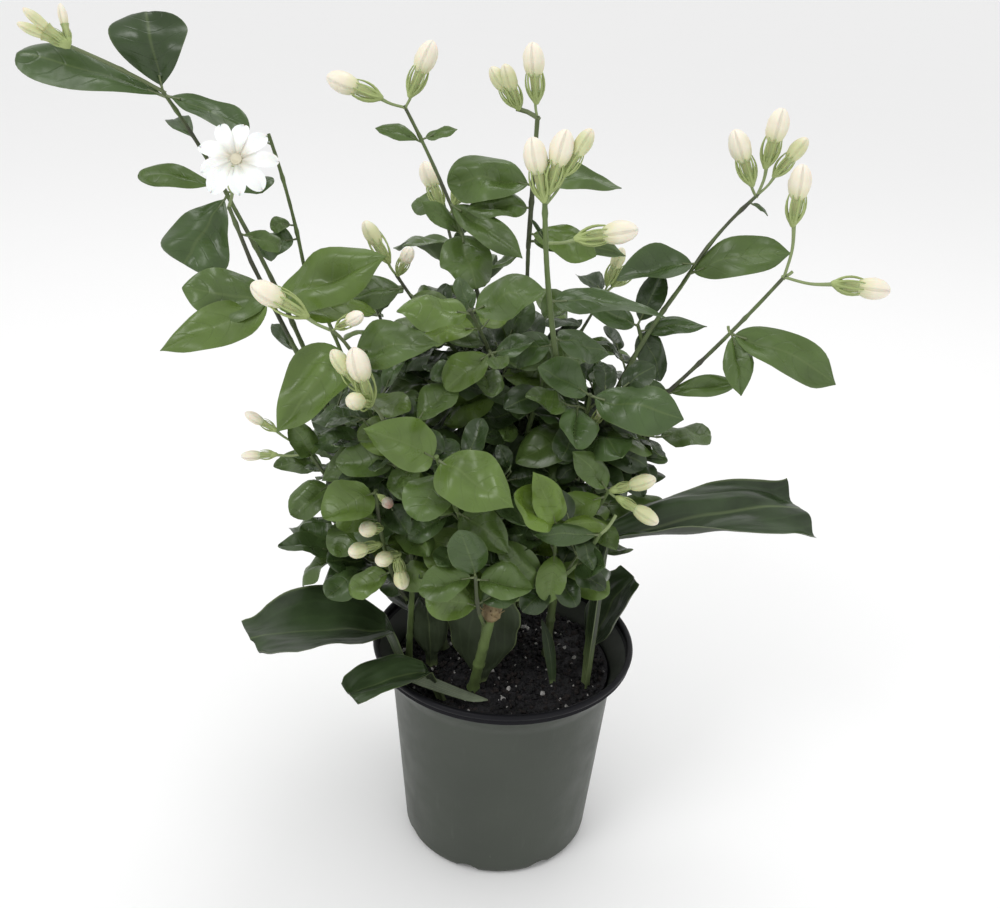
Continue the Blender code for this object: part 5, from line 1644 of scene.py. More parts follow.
class JASMINE_OT_twigs(bpy.types.Operator):
    """Grows the twigs and the stalks of leaves and flowers on the boughs"""

    bl_idname = "jasmine.twigs"
    bl_label = "Twigs and stalks"

    def execute(self, context):
        _, masses = grow()
        builds = {group: Build() for group in GROUPS}
        for mass in masses:
            build = builds[group_of(mass.name)]
            for number, twig in enumerate(mass.twigs):
                thick = twig.radii[0] > STALK_RADIUS * BARK_FROM
                slot = (1 if mass.name in GREEN_SPRAYS else 0) if thick else 3
                path = self.sunk(finely(twig, TWIG_FINE_STEP), TWIG_SUNK)
                if mass.name in STOUT_SPRAYS:
                    path = Path(path.points, [radius * STOUT for radius in path.radii])
                relief = bark_relief(f"{mass.name} {number}", TWIG_RIDGES, TWIG_ROUGHNESS)
                add_round(build, path, TWIG_FINE_SIDES, slot, relief)
            for leaf in mass.leaves:
                build_leaf_stalk(build, leaf)
            for kind, root, _, end, size in mass.ends:
                self.flower_stalk(build, root, end, FLOWER_STALK_RADIUS * max(size, 0.7), kind)
        finishes = [materials()[name] for name in ("bark", "green_bark", "stalk", "leaf_stalk")]
        for group, build in builds.items():
            keep(build.piece(f"twigs_{group}", finishes), "stem_bark")
        return {"FINISHED"}

    @staticmethod
    def sunk(path, depth):
        """The path begun a little earlier, inside what carries it."""
        first, second = path.points[0], path.points[1]
        start = first - (second - first).normalized() * depth
        return Path([start] + path.points, [path.radii[0] * 0.9] + path.radii)

    @staticmethod
    def flower_stalk(build, root, end, radius, kind):
        """One flower stalk, a little bent, thickening under its calyx."""
        reach = end - root
        if reach.length < LEAST_FLOWER_STALK:
            return
        bend = root + reach * 0.5 + across(reach, UP) * reach.length * -0.06
        swell = 1.0 if kind == "none" else 1.5
        start = root - reach.normalized() * FLOWER_STALK_SUNK
        path = Path([start, root, bend, end], [radius, radius, radius, radius * swell])
        add_round(build, finely(path, FLOWER_STALK_FINE_STEP), STALK_FINE_SIDES, 2)


def build_leaf_stalk(build, leaf):
    """The short stalk from a twig to its leaf, sagging a little and running under the blade."""
    start = leaf.root
    end = leaf.root + leaf.out * (leaf.stalk + leaf.length * 0.05)
    sag = (start + end) / 2 - leaf.face * 0.35 * MM
    thick = 0.36 * MM + leaf.length * 0.006
    path = Path([start, sag, end - leaf.face * 0.2 * MM], [thick * 1.15, thick * 0.85, thick * 0.8])
    add_round(build, finely(path, LEAF_STALK_FINE_STEP), STALK_FINE_SIDES, 3)


class JASMINE_OT_leaves(bpy.types.Operator):
    """Turns every leaf of the growth rule into a thin curved leaf with veins, coloured spray by spray"""

    bl_idname = "jasmine.leaves"
    bl_label = "Leaves"

    def execute(self, context):
        _, masses = grow()
        builds = {group: Build() for group in GROUPS}
        nodes = {group: [] for group in GROUPS}
        for mass in masses:
            group = group_of(mass.name)
            if mass.name in frame["nodes"]:
                nodes[group].append(mass.name)
            draw = random.Random(f"{mass.name} leaves")
            first = SPRAY_GREENS.get(mass.name) or draw.choice(GREENS_BY_SEED)
            for leaf in mass.leaves:
                number = GREENS.index(first) + draw.choice(GREEN_STEPS)
                # Small leaves inside the crown take darker greens, as painted shade
                number -= INNER_SHADE_STEPS if leaf.length < INNER_LEAF and mass.name not in LONE_SPRAYS else 0
                number = min(max(number, 0), len(GREENS) - 1)
                cells = LARGE_LEAF_CELLS if leaf.length > LARGE_LEAF else SMALL_LEAF_CELLS
                rows = leaf_rows(leaf, leaf_shape(leaf, draw, mass.name), cells)
                add_blade(builds[group], rows, LEAF_THICKNESS, number, len(GREENS))
        finishes = [materials()[name] for name in (*GREENS, "under")]
        for group, build in builds.items():
            keep(build.piece(f"leaves_{group}", finishes, BLADE_SHARP), "leaf_green", *nodes[group])
        return {"FINISHED"}


def old_leaf_ribs(basal):
    """The rib of an old leaf, with the blade's normal and half width at each of its coarse pieces."""
    side = compass(basal.heading - 90, 0)
    ribs, normals, halves = [], [], []
    for point, aim, _, spread in basal_walk(basal):
        ribs.append(point)
        normals.append(side.cross(aim))
        halves.append(max(spread, OLD_LEAF_LEAST_DEPTH * 3))
    ribs.append(point + aim * basal.length * OLD_BLADE_TIP * MM)
    return ribs, normals + [normals[-1]], halves + [halves[-1] * OLD_LEAF_END]


def old_leaf_rows(basal, draw):
    """Rows over the upper face of an old leaf: wrinkled lengthwise, wavy at its edges and torn at its tip."""
    ribs, normals, halves = old_leaf_ribs(basal)
    level = compass(basal.heading - 90, 0)
    roll, widen, fold = OLD_LEAF_TURNS.get(basal.name, (0, 0, 1))
    down, wide = OLD_LEAF_CELLS
    phase, slant = draw.uniform(0, 6), draw.uniform(0.1, 0.6)
    blade_at = len(ribs) - len(OLD_BLADE) - 1
    rows = []
    for row in range(down + 1):
        share = row / down
        place = share * (len(ribs) - 1)
        rib, half = blended(ribs, place), blended(halves, place)
        normal = blended(normals, place).normalized()
        in_blade = held(place - blade_at + 0.6)
        angle = math.radians(roll) * share * share
        half *= 1 + widen * (share ** 3 - OLD_LEAF_WAIST * math.sin(math.pi * share) ** 2)
        side = level * math.cos(angle) + normal * math.sin(angle)
        normal = normal * math.cos(angle) - level * math.sin(angle)
        cup = OLD_LEAF_FOLD * in_blade + 0.4 * (1 - in_blade)
        line = []
        for column in range(wide + 1):
            spread = 2 * column / wide - 1
            torn = noise.noise(Vector((share * 7, math.copysign(4, spread), phase))) * 0.3 * in_blade * share
            edge = 1 + min(torn, 0.05) * abs(spread) ** 3
            wave = math.sin(share * 8 + phase + (1.4 if spread > 0 else 0)) * spread * spread
            wave = wave * 0.06 * half * in_blade
            wrinkle = math.sin(spread * 4 + phase + 2 * math.sin(share * 4)) * 0.9 * MM * in_blade
            wrinkle += noise.noise(Vector((spread * 1.8, share * 6, phase))) * 1.2 * MM * in_blade
            wrinkle *= fold
            groove = 0.9 * MM * math.exp(-(spread / 0.1) ** 2) * (1 - share)
            lift = cup * half * abs(spread) ** 1.3 + wave + wrinkle - groove
            point = rib + side * half * spread * edge + normal * lift
            point += (ribs[-1] - ribs[-2]) * (torn + slant * spread) * max(share - 0.85, 0) * 5
            line.append((point, normal, ((spread + 1) / 2, share)))
        rows.append(line)
    return rows


def old_leaf_material(name, colour, roughness, lines):
    """The skin of an old leaf: lengthwise veins, dull patches, and a pale rib and edge."""
    made, tree, shader = shaded(name, colour, roughness, {"Specular IOR Level": 0.35})
    place, share = surface_place(tree)
    spread = from_rib(tree, place)
    bent = calc(tree, "MULTIPLY_ADD", speckle(tree, 30.0), 0.8, spread)
    veins = calc(tree, "SINE", calc(tree, "MULTIPLY_ADD", share, 6.0, times(tree, bent, 22.0)))
    patches = speckle(tree, 38.0, 4.0)
    tint = mixed(tree, ramp(tree, patches, 0.35, 0.68), shade(colour, 0.6), shade(colour, 1.5))
    tint = mixed(tree, ramp(tree, veins, 0.7, 1.0, 0.0, lines), tint, shade(colour, 1.9))
    rib = ramp(tree, spread, 0.01, 0.05, 0.35, 0.0)
    rib = calc(tree, "MAXIMUM", rib, ramp(tree, spread, 0.95, 1.0, 0.0, 0.7))
    rib = calc(tree, "MAXIMUM", rib, ramp(tree, share, 0.03, 0.1, 0.85, 0.0))
    tint = mixed(tree, rib, tint, (0.17, 0.22, 0.09))
    height = calc(tree, "ADD", times(tree, veins, 0.12), speckle(tree, 90.0, 3.0))
    rough = ramp(tree, patches, 0.3, 0.7, roughness, roughness + 0.2)
    wire(tree, shader, tint, bump(tree, height, 0.6 * MM, 0.7), rough)
    return made


# Narrow blades at the soil, each by stops of (point, half width) in millimetres
SHEATH_STOPS = (((-39, -32, 98.2), 2.4), ((-31, -35, 97.5), 2.6), ((-21, -37, 95), 2.2),
                ((-12, -36.5, 91.5), 1.7), ((-5.5, -34, 88.6), 0.3))
YOUNG_BLADE_STOPS = (((22, -17, 86), 1.2), ((21, -14, 94), 2.1), ((19, -11, 104), 2.3), ((16, -9, 113), 0.3))
STRIP_CELLS = (26, 6)
STRIP_THICKNESS = 0.5 * MM


def strip_rows(stops):
    """Rows over a narrow blade that faces the front and up."""
    points, halves = [Vector(point) * MM for point, _ in stops], [half * MM for _, half in stops]
    last, (down, wide) = len(stops) - 1, STRIP_CELLS
    rows = []
    for row in range(down + 1):
        place = last * row / down
        rib, half = blended(points, place), max(blended(halves, place), 0.15 * MM)
        ahead = (blended(points, min(place + 0.1, last)) - blended(points, max(place - 0.1, 0))).normalized()
        side = ahead.cross(FRONT + UP * 0.6).normalized()
        normal = side.cross(ahead)
        spreads = [2 * column / wide - 1 for column in range(wide + 1)]
        rows.append([(rib + side * half * spread + normal * half * 0.35 * spread * spread, normal,
                      ((spread + 1) / 2, row / down)) for spread in spreads])
    return rows


class JASMINE_OT_old_leaves(bpy.types.Operator):
    """Gives the broad old leaves at the soil their wrinkles, wavy edges and torn tips"""

    bl_idname = "jasmine.old_leaves"
    bl_label = "Old leaves"

    def execute(self, context):
        upper = old_leaf_material("old_leaf", colour("foliage", "old"), 0.28, 0.15)
        under = old_leaf_material("old_leaf_underside", colour("foliage", "old_under"), 0.5, 0.25)
        for basal in BASALS:
            build = Build()
            add_blade(build, old_leaf_rows(basal, random.Random(basal.name)), OLD_LEAF_THICKNESS, 0, 1)
            surface = build.piece(f"{basal.name}_surface", [upper, under], BLADE_SHARP)
            keep(surface, "old_leaf_green", *basal_shells(basal))
        pale = old_leaf_material("old_leaf_sheath", colour("foliage", "sheath"), 0.6, 0.3)
        strips = (("pale_sheath", SHEATH_STOPS, pale), ("young_blade", YOUNG_BLADE_STOPS, upper))
        for name, stops, finish in strips:
            build = Build()
            add_blade(build, strip_rows(stops), STRIP_THICKNESS, 0, 0)
            keep(build.piece(name, [finish], BLADE_SHARP), "old_leaf_green")
        return {"FINISHED"}


# Profiles of (height, radius) up a bud from the end of its stalk, in millimetres
CALYX_CUP = ((-3.0, 0.7), (-2.2, 1.3), (-1.2, 1.75), (0.2, 2.0), (1.4, 1.9), (2.2, 1.4))
BUD_TUBE = ((-1.0, 1.7), (2.0, 1.8), (5.0, 1.9), (7.6, 2.1), (9.0, 2.6))
BULB_AT, BULB_LENGTH = 7.2, 12.8
PETALS_IN_BUD = 5
LEAST_BUD = 0.5
# Material numbers of the bulbs of young kinds of bud
BUD_FINISHES = {"tiny_bud": 3, "slim_bud": 4}
# The open flower's tube and lobes as shares of a bud's, and a slim bud's width as a share of a full one's
BLOOM_TUBE = 0.75
BLOOM_LOBES = 0.55
SLIM_BUD = 0.9
# Sprays whose buds are slimmer, whose lobes are shorter, and whose buds are short and round
SLIM_BUDS = {"left_long_shoot": 0.62, "left_low_shoot": 0.8}
SHORT_LOBES = {"left_long_shoot": 0.62, "left_low_shoot": 0.8, "right_front_shoot": 0.68}
ROUND_BUD_SPRAYS = ("left_front_shoot",)
ROUND_BUD = 0.72
# Sprays whose calyx lobes spread, and each kind of lobes as (length, swell)
SPREADING_SPRAYS = ("left_mid_shoot", "top_low_shoot")
LOBE_KINDS = {"calyx_lobes": (10.5 * MM, 3.5), "spreading_calyx_lobes": (14 * MM, 3.9)}
# The throat of the open flower: (height, radius) about the flower's middle, in millimetres
THROAT_PROFILE = ((-9.0, 1.3), (-5.0, 1.3), (-2.0, 1.7), (-0.5, 2.6), (0.3, 2.9), (0.5, 2.5), (0.1, 1.9),
                  (-0.6, 0.8))
THROAT_WIDTH = 0.72
# Below this height the throat follows the flower's stalk
THROAT_BEND = -1.5
PETAL_THICKNESS = 0.35 * MM
PETAL_ROWS = 12
PETAL_COLUMNS = 8


def add_profile(build, foot, aim, profile, size, slot, sides):
    """A turned form on a bud's axis from (height, radius) points in millimetres."""
    points = [foot + aim * height * size * MM for height, _ in profile]
    path = Path(points, [radius * size * MM for _, radius in profile])
    add_round(build, finely(path, BUD_FINE_STEP), sides, slot)


def add_bulb(build, foot, aim, size, radius, slot, draw, long):
    """A swollen bud of petals folded over one another in a spiral, with a blunt tip."""
    side = across(aim, FRONT)
    start, twist = draw.uniform(0, 6), draw.choice((-1, 1)) * draw.uniform(1.2, 2.0)
    vertices, places = [], []
    for row in range(BULB_ROWS + 1):
        share = (1 - math.cos(math.pi * row / BULB_ROWS)) / 2
        swell = math.sin(math.pi * min(share, 0.999) ** 0.92) ** 0.46
        neck = 0.36 * (1 - share) ** 2
        for turn in range(BULB_SEGMENTS):
            angle = 2 * math.pi * turn / BULB_SEGMENTS
            fold = ((angle + start + twist * share) * PETALS_IN_BUD / (2 * math.pi)) % 1
            crease = 1 + (0.06 * fold - 0.035 * math.exp(-fold * 6)) * math.sin(math.pi * share) ** 0.5
            wide = radius * size * max(swell * (1 - neck) + neck, 0.04) * crease
            out = side * math.cos(angle) + aim.cross(side) * math.sin(angle)
            vertices.append(foot + aim * (BULB_AT + BULB_LENGTH * share) * long * size * MM + out * wide)
            places.append((turn / BULB_SEGMENTS, share))
    faces = ring_faces(range(0, len(vertices), BULB_SEGMENTS), BULB_SEGMENTS)
    build.add(vertices, places, faces, [slot] * len(faces))


class JASMINE_OT_buds(bpy.types.Operator):
    """Makes the buds: green calyx cups, tubes and swollen cream bulbs, and the thin lobes round them"""

    bl_idname = "jasmine.buds"
    bl_label = "Buds"

    def execute(self, context):
        _, masses = grow()
        blossom = settings("blossom")
        builds = collections.defaultdict(Build)
        lobes = {name: [] for name in LOBE_KINDS}
        for mass in masses:
            draw = random.Random(f"{mass.name} buds")
            long = ROUND_BUD if mass.name in ROUND_BUD_SPRAYS else 1
            kept = "spreading_calyx_lobes" if mass.name in SPREADING_SPRAYS else "calyx_lobes"
            for kind, _, aim, end, size in mass.ends:
                if kind == "none":
                    continue
                size = max(size, LEAST_BUD)
                build = builds[group_of(mass.name)]
                add_profile(build, end, aim, CALYX_CUP, size, 0, CALYX_SIDES)
                if kind == "bloom":
                    add_profile(build, end, aim, BUD_TUBE, size * BLOOM_TUBE, 1, BUD_TUBE_SIDES)
                    lobe_size = BLOOM_LOBES
                else:
                    add_profile(build, end, aim, BUD_TUBE, size, 1, BUD_TUBE_SIDES)
                    slim = SLIM_BUDS.get(mass.name, 1) * (SLIM_BUD if kind == "slim_bud" else 1)
                    slot = BUD_FINISHES.get(kind, 2)
                    add_bulb(build, end, aim, size, blossom.bulb * slim, slot, draw, long)
                    lobe_size = SHORT_LOBES.get(mass.name, 1)
                lobes[kept].append((end, aim, size * lobe_size * long))
        finishes = [materials()[name] for name in ("calyx", "tube", "bulb", "young_bud", "slim_bud")]
        for group, build in builds.items():
            keep(build.piece(f"buds_{group}", finishes, BUD_SHARP), "leaf_green")
        tree = calyx_tree(materials()["calyx"])
        for name, (length, swell) in LOBE_KINDS.items():
            keep(self.on_points(name, lobes[name], tree, length, swell, blossom.lobes), "leaf_green")
        return {"FINISHED"}

    @staticmethod
    def on_points(name, points, tree, length, swell, count):
        """The lobes of these buds as one object, from a mesh of points that carry aim and size."""
        cloud = bpy.data.meshes.new(name)
        cloud.from_pydata([point for point, _, _ in points], [], [])
        aims = cloud.attributes.new("aim", "FLOAT_VECTOR", "POINT")
        aims.data.foreach_set("vector", [part for _, aim, _ in points for part in aim])
        sizes = cloud.attributes.new("size", "FLOAT", "POINT")
        sizes.data.foreach_set("value", [size for _, _, size in points])
        mesh = run_tree(linked(name, cloud), tree, name, Length=length, Swell=swell, Lobes=count)
        mesh.shade_smooth()
        return linked(name, mesh)


class JASMINE_OT_flower(bpy.types.Operator):
    """Opens the one white flower: a ring of rounded petals round a tan throat"""

    bl_idname = "jasmine.flower"
    bl_label = "Open flower"

    def execute(self, context):
        _, masses = grow()
        blossom = settings("blossom")
        ends = [end for mass in masses for end in mass.ends if end[0] == "bloom"]
        _, _, aim, stalk_end, _ = ends[0]
        centre = stalk_end + aim * BLOOM_THROAT * 2
        axes = bloom_axes()
        place = Matrix(axes).transposed().to_4x4()
        place.translation = centre
        petal = Build()
        add_blade(petal, self.petal_rows(blossom.petal_length, blossom.petal_width), PETAL_THICKNESS, 0, 0)
        throat_colour, white_colour = colour("blossom", "throat"), colour("blossom", "white")
        white = petal_material("petal_white", throat_colour, white_colour, white_colour, 0.5)
        carrier = petal.piece("petal", [white], FLOWER_SHARP)
        mesh = run_tree(carrier, petal_tree(white), "petals", Petals=blossom.petals)
        mesh.transform(place)
        mesh.shade_smooth()
        keep(linked("petals", mesh), "leaf_green")
        throat = Build()
        aims = [axes[2] if height > THROAT_BEND else aim for height, _ in THROAT_PROFILE]
        points = [centre + way * height * MM for way, (height, _) in zip(aims, THROAT_PROFILE)]
        path = Path(points, [radius * THROAT_WIDTH * MM for _, radius in THROAT_PROFILE])
        add_round(throat, finely(path, THROAT_FINE_STEP), THROAT_SIDES, 0)
        tan = plain_green("flower_throat", throat_colour)
        keep(throat.piece("flower_throat", [tan], FLOWER_SHARP), "leaf_green")
        return {"FINISHED"}

    @staticmethod
    def petal_rows(length, width):
        """Rows over one petal that points along +X and faces +Z."""
        rows = []
        for row in range(PETAL_ROWS + 1):
            share = (1 - math.cos(math.pi * row / PETAL_ROWS)) / 2
            round_end = math.sqrt(max(1 - max((share - 0.55) / 0.45, 0) ** 2.3, 0.0))
            broad = 0.30 + 0.70 * math.sin(math.pi / 2 * min(share / 0.62, 1)) ** 1.4
            half = width / 2 * broad * round_end + 0.1 * MM
            line = []
            for column in range(PETAL_COLUMNS + 1):
                spread = 2 * column / PETAL_COLUMNS - 1
                lift = 1.5 * MM * math.sin(math.pi * share * 0.8) + 0.16 * half * spread * spread
                lift -= 1.2 * MM * share ** 3
                lift += 0.3 * MM * math.sin(5 * spread + 7 * share)
                reach = 1.6 * MM + length * share - 0.5 * MM * share * math.cos(3 * spread)
                line.append((Vector((reach, -half * spread, lift)), UP, ((spread + 1) / 2, share)))
            rows.append(line)
        return rows


def fine_pot_profile():
    """The pot's wall with a rounded foot, a smooth flare, and a rolled lip that stands out below the rim."""
    outside = [(FOOT_RADIUS - FOOT_CORNER * (1 - math.sin(angle)), FOOT_CORNER * (1 - math.cos(angle)))
               for angle in (math.radians(step) for step in range(0, 91, 10))]
    for step in range(1, 10):
        share = step / 10
        radius = FOOT_RADIUS + (SHOULDER_RADIUS - FOOT_RADIUS) * share
        outside.append((radius, FOOT_CORNER + (SHOULDER_HEIGHT - FOOT_CORNER) * share))
    under_roll = POT_HEIGHT - RIM_ROLL * 1.6
    for step in range(13):
        share = step / 12
        radius = SHOULDER_RADIUS + (RIM_RADIUS - 0.7 * MM - SHOULDER_RADIUS) * share ** 1.5
        outside.append((radius, SHOULDER_HEIGHT + (under_roll - SHOULDER_HEIGHT) * share))
    inside = [(radius - POT_WALL, max(height, POT_WALL)) for radius, height in outside[6:]]
    inside[0] = (FOOT_RADIUS - FOOT_CORNER, POT_WALL)
    roll = []
    for step in range(-4, 9):
        angle = math.pi * step / 8
        roll.append((RIM_RADIUS - RIM_ROLL * 0.5 + RIM_ROLL * 0.5 * math.cos(angle),
                     POT_HEIGHT - RIM_ROLL * 0.5 + RIM_ROLL * 0.5 * math.sin(angle)))
    return [(0, POT_WALL)] + inside + roll[::-1] + outside[::-1] + [(0, 0)]


def turned_piece(name, profile, segments, finishes, slot_of):
    """An object turned about +Z. slot_of gives the material's number from a face's middle and its place."""
    shell = turned(profile, segments)
    build = Build()
    lengths = [0.0]
    for first, last in zip(profile, profile[1:]):
        lengths.append(lengths[-1] + math.dist(first, last))
    places = []
    for (radius, _), length in zip(profile, lengths):
        count = segments if radius > 0 else 1
        places += [(turn / segments, length / lengths[-1]) for turn in range(count)]
    slots = [slot_of([shell.vertices[corner] for corner in face]) for face in shell.faces]
    build.add(shell.vertices, places, shell.faces, slots)
    made = build.piece(name, finishes, TURNED_SHARP)
    form = bmesh.new()
    form.from_mesh(made.data)
    bmesh.ops.recalc_face_normals(form, faces=form.faces)
    form.to_mesh(made.data)
    form.free()
    return made


def notch_cutter(number):
    """A short bar across the foot of the pot that cuts one drainage notch."""
    form = bmesh.new()
    angle = NOTCH_TURN + 2 * math.pi * number / NOTCH_COUNT
    reach = FOOT_RADIUS - NOTCH_DEPTH / 2 + 4 * MM
    place = Matrix.Rotation(angle, 4, "Z") @ Matrix.Translation((reach, 0, -NOTCH_DROP))
    bmesh.ops.create_cone(form, cap_ends=True, segments=48, radius1=NOTCH_RADIUS, radius2=NOTCH_RADIUS,
                          depth=NOTCH_DEPTH + 8 * MM, matrix=place @ Matrix.Rotation(math.pi / 2, 4, "Y"))
    mesh = bpy.data.meshes.new(f"notch_cutter_{number}")
    form.to_mesh(mesh)
    form.free()
    return linked(mesh.name, mesh)


def cut_notches(pot):
    """Cuts the drainage notches from the pot's foot with one Boolean, applied."""
    cutters = bpy.data.collections.new("notch_cutters")
    made = [notch_cutter(number) for number in range(NOTCH_COUNT)]
    for cutter in made:
        cutters.objects.link(cutter)
    cut = pot.modifiers.new("notches", "BOOLEAN")
    cut.operation, cut.operand_type, cut.collection, cut.solver = "DIFFERENCE", "COLLECTION", cutters, "EXACT"
    bpy.context.view_layer.update()
    evaluated = pot.evaluated_get(bpy.context.evaluated_depsgraph_get())
    mesh = bpy.data.meshes.new_from_object(evaluated)
    pot.modifiers.clear()
    pot.data = mesh
    pot.data.shade_smooth()
    pot.data.set_sharp_from_angle(angle=math.radians(TURNED_SHARP))
    for cutter in made:
        bpy.data.objects.remove(cutter)
    bpy.data.collections.remove(cutters)


def plastic_material(name, colour, roughness, scuffs, shine):
    """Moulded plastic with a faint mottle, dust, and scuffs near the foot."""
    made, tree, shader = shaded(name, colour, roughness, {"Specular IOR Level": shine})
    where = put(tree, "ShaderNodeTexCoord").outputs["Object"]
    height = put(tree, "ShaderNodeSeparateXYZ", {0: where}).outputs[2]
    mottle = ramp(tree, speckle(tree, 22.0, 5.0), 0.3, 0.7)
    tint = mixed(tree, mottle, shade(colour, 0.88), shade(colour, 1.12))
    dust = ramp(tree, speckle(tree, 900.0, 2.0), 0.68, 0.78, 0.0, scuffs)
    streaks = ramp(tree, speckle(tree, 300.0, 4.0, (1.0, 1.0, 0.15)), 0.62, 0.75, 0.0, scuffs)
    low = ramp(tree, height, 0.0, 0.03, 1.0, 0.15)
    worn = times(tree, calc(tree, "MAXIMUM", dust, streaks), low)
    tint = mixed(tree, worn, tint, shade(colour, 2.6))
    grain = calc(tree, "ADD", times(tree, speckle(tree, 1400.0, 2.0), 0.5), speckle(tree, 60.0))
    rough = ramp(tree, speckle(tree, 90.0, 4.0), 0.3, 0.7, roughness - 0.05, roughness + 0.1)
    wire(tree, shader, tint, bump(tree, grain, 0.12 * MM, 0.6), rough)
    return made


class JASMINE_OT_pot(bpy.types.Operator):
    """Turns the pot with its flare and rolled lip and cuts the drainage notches"""

    bl_idname = "jasmine.pot"
    bl_label = "Pot"

    def execute(self, context):
        wall = plastic_material("pot_plastic", colour("pot", "plastic"), 0.42, 0.5, 0.3)
        lip = plastic_material("pot_lip", colour("pot", "lip"), 0.4, 0.2, 0.12)

        def slot_of(corners):
            middle = sum(corners, Vector()) / len(corners)
            inside = middle.to_2d().length < FOOT_RADIUS + (middle.z / POT_HEIGHT) * 8 * MM - 0.9 * MM
            in_lip = middle.z > POT_HEIGHT - RIM_ROLL * 1.8
            return int(in_lip or (inside and middle.z > POT_WALL * 0.9))

        pot = turned_piece("pot_shell", fine_pot_profile(), POT_FINE_SEGMENTS, [wall, lip], slot_of)
        cut_notches(pot)
        keep(pot, "pot_plastic", "pot")
        return {"FINISHED"}


SOIL_RINGS = 36
SOIL_SEGMENTS = 120
CRUMB_BED_SEGMENTS = 48
# How fine the noise is that makes crumbs uneven
CRUMB_GRAIN = 900.0


def peat_material(name, colour):
    """Moist peat, nearly black, with fibres."""
    made, tree, shader = shaded(name, colour, 0.85)
    grain = speckle(tree, 700.0, 6.0)
    fibres = speckle(tree, 330.0, 4.0, (1.0, 0.2, 1.0))
    tint = mixed(tree, ramp(tree, grain, 0.45, 0.75), colour, shade(colour, 2.6))
    tint = mixed(tree, ramp(tree, fibres, 0.66, 0.76), tint, (0.06, 0.035, 0.028))
    wire(tree, shader, tint, bump(tree, grain, 1.2 * MM), ramp(tree, fibres, 0.3, 0.7, 0.55, 0.95))
    return made


class JASMINE_OT_soil(bpy.types.Operator):
    """Fills the pot with lumpy soil and scatters crumbs of bark and white grains on it"""

    bl_idname = "jasmine.soil"
    bl_label = "Soil"

    def execute(self, context):
        pot = settings("pot")
        peat = peat_material("peat", colour("pot", "peat"))
        low = soil_profile()[:-2]
        flat = [(SOIL_FLAT_RADIUS * ring / SOIL_RINGS, SOIL_HEIGHT) for ring in range(SOIL_RINGS, 0, -1)]
        profile = low + flat + [(0, SOIL_HEIGHT)]
        body = turned_piece("soil_body", profile, SOIL_SEGMENTS, [peat], lambda corners: 0)
        for vertex in body.data.vertices:
            place = vertex.co
            on_top = place.z > SOIL_HEIGHT - SOIL_EDGE_DROP * 1.1
            if on_top and place.to_2d().length < SOIL_FLAT_RADIUS + 1 * MM:
                place.z += noise.noise(place * 240) * 0.9 * MM + noise.noise(place * 90) * 1.2 * MM - 0.7 * MM
        keep(body, "peat", "soil")
        # Each kind's colour, count in a square metre, least and greatest radius, seed and unevenness
        kinds = (
            ("bark_crumbs", pot.bark_crumbs, pot.bark_density, 0.5 * MM, 1.5 * MM, 3, 0.9 * MM),
            ("dark_crumbs", pot.peat, pot.bark_density * 2, 0.5 * MM, 1.7 * MM, 8, 1.1 * MM),
            ("white_grains", pot.white_crumbs, pot.white_density, 0.25 * MM, 0.9 * MM, 16, 0.5 * MM),
            ("large_grains", pot.white_crumbs, pot.white_density * 0.2, 0.9 * MM, 1.9 * MM, 27, 0.9 * MM),
        )
        rings = [(SOIL_FLAT_RADIUS * 1.01, SOIL_HEIGHT - 0.4 * MM), (0, SOIL_HEIGHT - 0.2 * MM)]
        bed = turned(rings, CRUMB_BED_SEGMENTS)
        for name, tint, density, smallest, largest, seed, rough in kinds:
            tint = tuple(tint)
            grain, tree, shader = shaded(name, tint, 0.85)
            dirt = ramp(tree, speckle(tree, 800.0, 3.0), 0.4, 0.7)
            wire(tree, shader, mixed(tree, dirt, shade(tint, 0.45), tint))
            top = Build()
            places = [(0, 0)] * len(bed.vertices)
            top.add(bed.vertices, places, bed.faces[:CRUMB_BED_SEGMENTS], [0] * CRUMB_BED_SEGMENTS)
            mesh = run_tree(top.piece(name, [grain]), crumb_tree(name, grain, rough), name, Density=density,
                            Smallest=smallest, Largest=largest, Seed=seed)
            keep(linked(name, mesh), "peat")
        return {"FINISHED"}


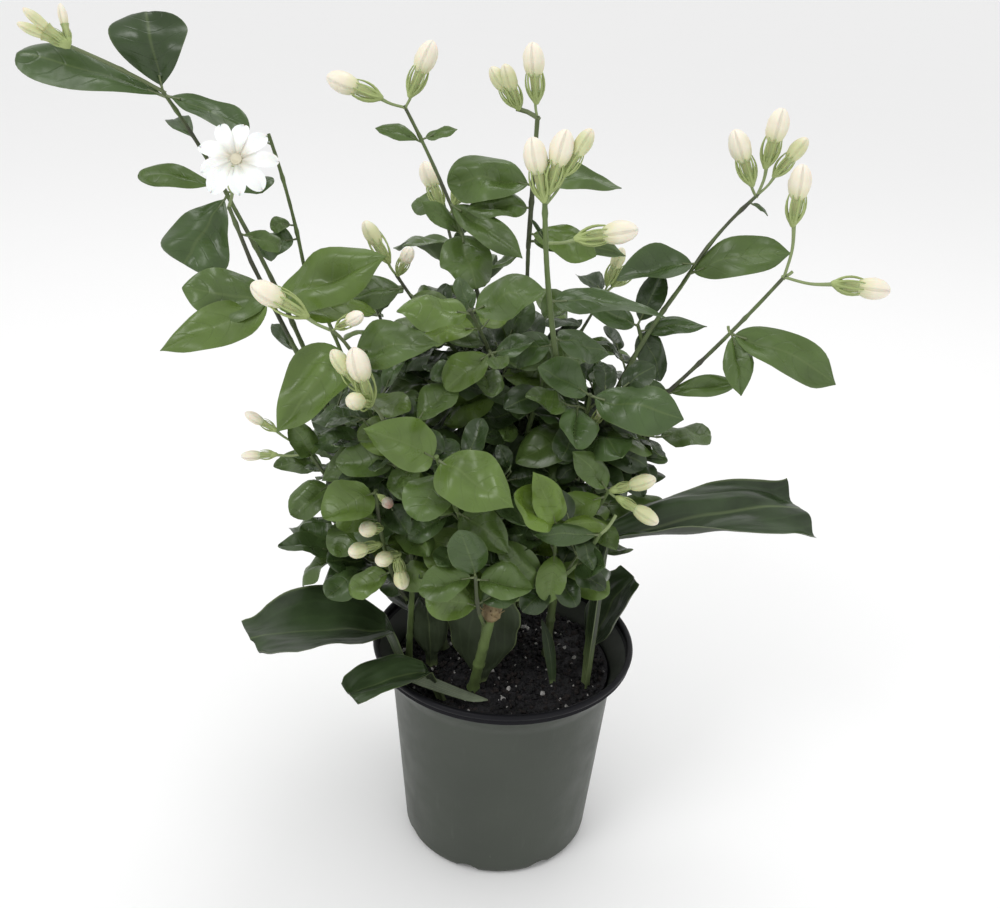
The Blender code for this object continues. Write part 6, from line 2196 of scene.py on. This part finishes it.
class JASMINE_OT_studio(bpy.types.Operator):
    """Sets the floor, the soft lamps and the camera at the photo's angle"""

    bl_idname = "jasmine.studio"
    bl_label = "Studio"

    def execute(self, context):
        studio = settings("studio")
        scene = context.scene
        scene.view_settings.view_transform = "Standard"
        floor_mesh = bpy.data.meshes.new("floor")
        wide = FLOOR_REACH
        floor_mesh.from_pydata([(-wide, -wide, 0), (wide, -wide, 0), (wide, wide, 0), (-wide, wide, 0)], [],
                               [(0, 1, 2, 3)])
        paper = tuple(studio.floor)
        pale, tree, shader = shaded("floor_paper", paper, 0.9)
        wire(tree, shader, mixed(tree, speckle(tree, 3.0), shade(paper, 0.99), paper))
        floor_mesh.materials.append(pale)
        linked("floor", floor_mesh)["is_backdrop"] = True
        world = bpy.data.worlds.new("studio_sky")
        world.use_nodes = True
        sky = world.node_tree.nodes["Background"]
        sky.inputs["Color"].default_value = (1, 1, 1, 1)
        sky.inputs["Strength"].default_value = studio.sky
        scene.world = world
        lamps = (("key", (-0.7, -0.75, 1.15), 0.5, studio.key), ("fill", (0.8, -0.9, 0.5), 0.9, studio.fill),
                 ("top", (0.15, 0.35, 1.3), 0.5, studio.key * 0.6))
        for name, place, size, power in lamps:
            light = bpy.data.lights.new(f"{name}_lamp", "AREA")
            light.energy, light.size = power, size
            lamp = linked(light.name, light)
            lamp.location = place
            lamp.rotation_euler = (LAMP_TARGET - Vector(place)).to_track_quat("-Z", "Y").to_euler()
        data = bpy.data.cameras.new("camera")
        data.lens, data.sensor_width = studio.focal, SENSOR
        camera = linked("camera", data)
        turn = Matrix.Rotation(math.pi / 2 - studio.pitch, 4, "X") @ Matrix.Rotation(studio.roll, 4, "Z")
        camera.matrix_world = Matrix.Translation(studio.eye) @ turn
        scene.camera = camera
        return {"FINISHED"}


OPERATORS = (JASMINE_OT_pot, JASMINE_OT_soil, JASMINE_OT_limbs, JASMINE_OT_old_leaves, JASMINE_OT_leaves,
             JASMINE_OT_twigs, JASMINE_OT_buds, JASMINE_OT_flower, JASMINE_OT_studio)


class JASMINE_PT_sidebar(bpy.types.Panel):
    """Lists the builders of the jasmine and their settings"""

    bl_idname = "JASMINE_PT_sidebar"
    bl_label = "Potted jasmine"
    bl_space_type = "VIEW_3D"
    bl_region_type = "UI"
    bl_category = "Jasmine"

    def draw(self, context):
        for made in OPERATORS:
            self.layout.operator(made.bl_idname)
        for place, group in zip(PLACES, GROUP_CLASSES):
            box = self.layout.box()
            for name in group.__annotations__:
                box.prop(getattr(context.scene, place), name)


def register():
    for made in (*GROUP_CLASSES, *OPERATORS, JASMINE_PT_sidebar):
        bpy.utils.register_class(made)
    for place, group in zip(PLACES, GROUP_CLASSES):
        setattr(bpy.types.Scene, place, bpy.props.PointerProperty(type=group))


def unregister():
    for place in PLACES:
        delattr(bpy.types.Scene, place)
    for made in reversed((*GROUP_CLASSES, *OPERATORS, JASMINE_PT_sidebar)):
        bpy.utils.unregister_class(made)


def main():
    register()
    for made in OPERATORS:
        family, name = made.bl_idname.split(".")
        getattr(getattr(bpy.ops, family), name)()
    sizes = {"cad": CAD_BOX, "visual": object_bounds()}
    {name: [list(corner) for corner in box] for name, box in sizes.items()}


if __name__ == "__main__":
    main()
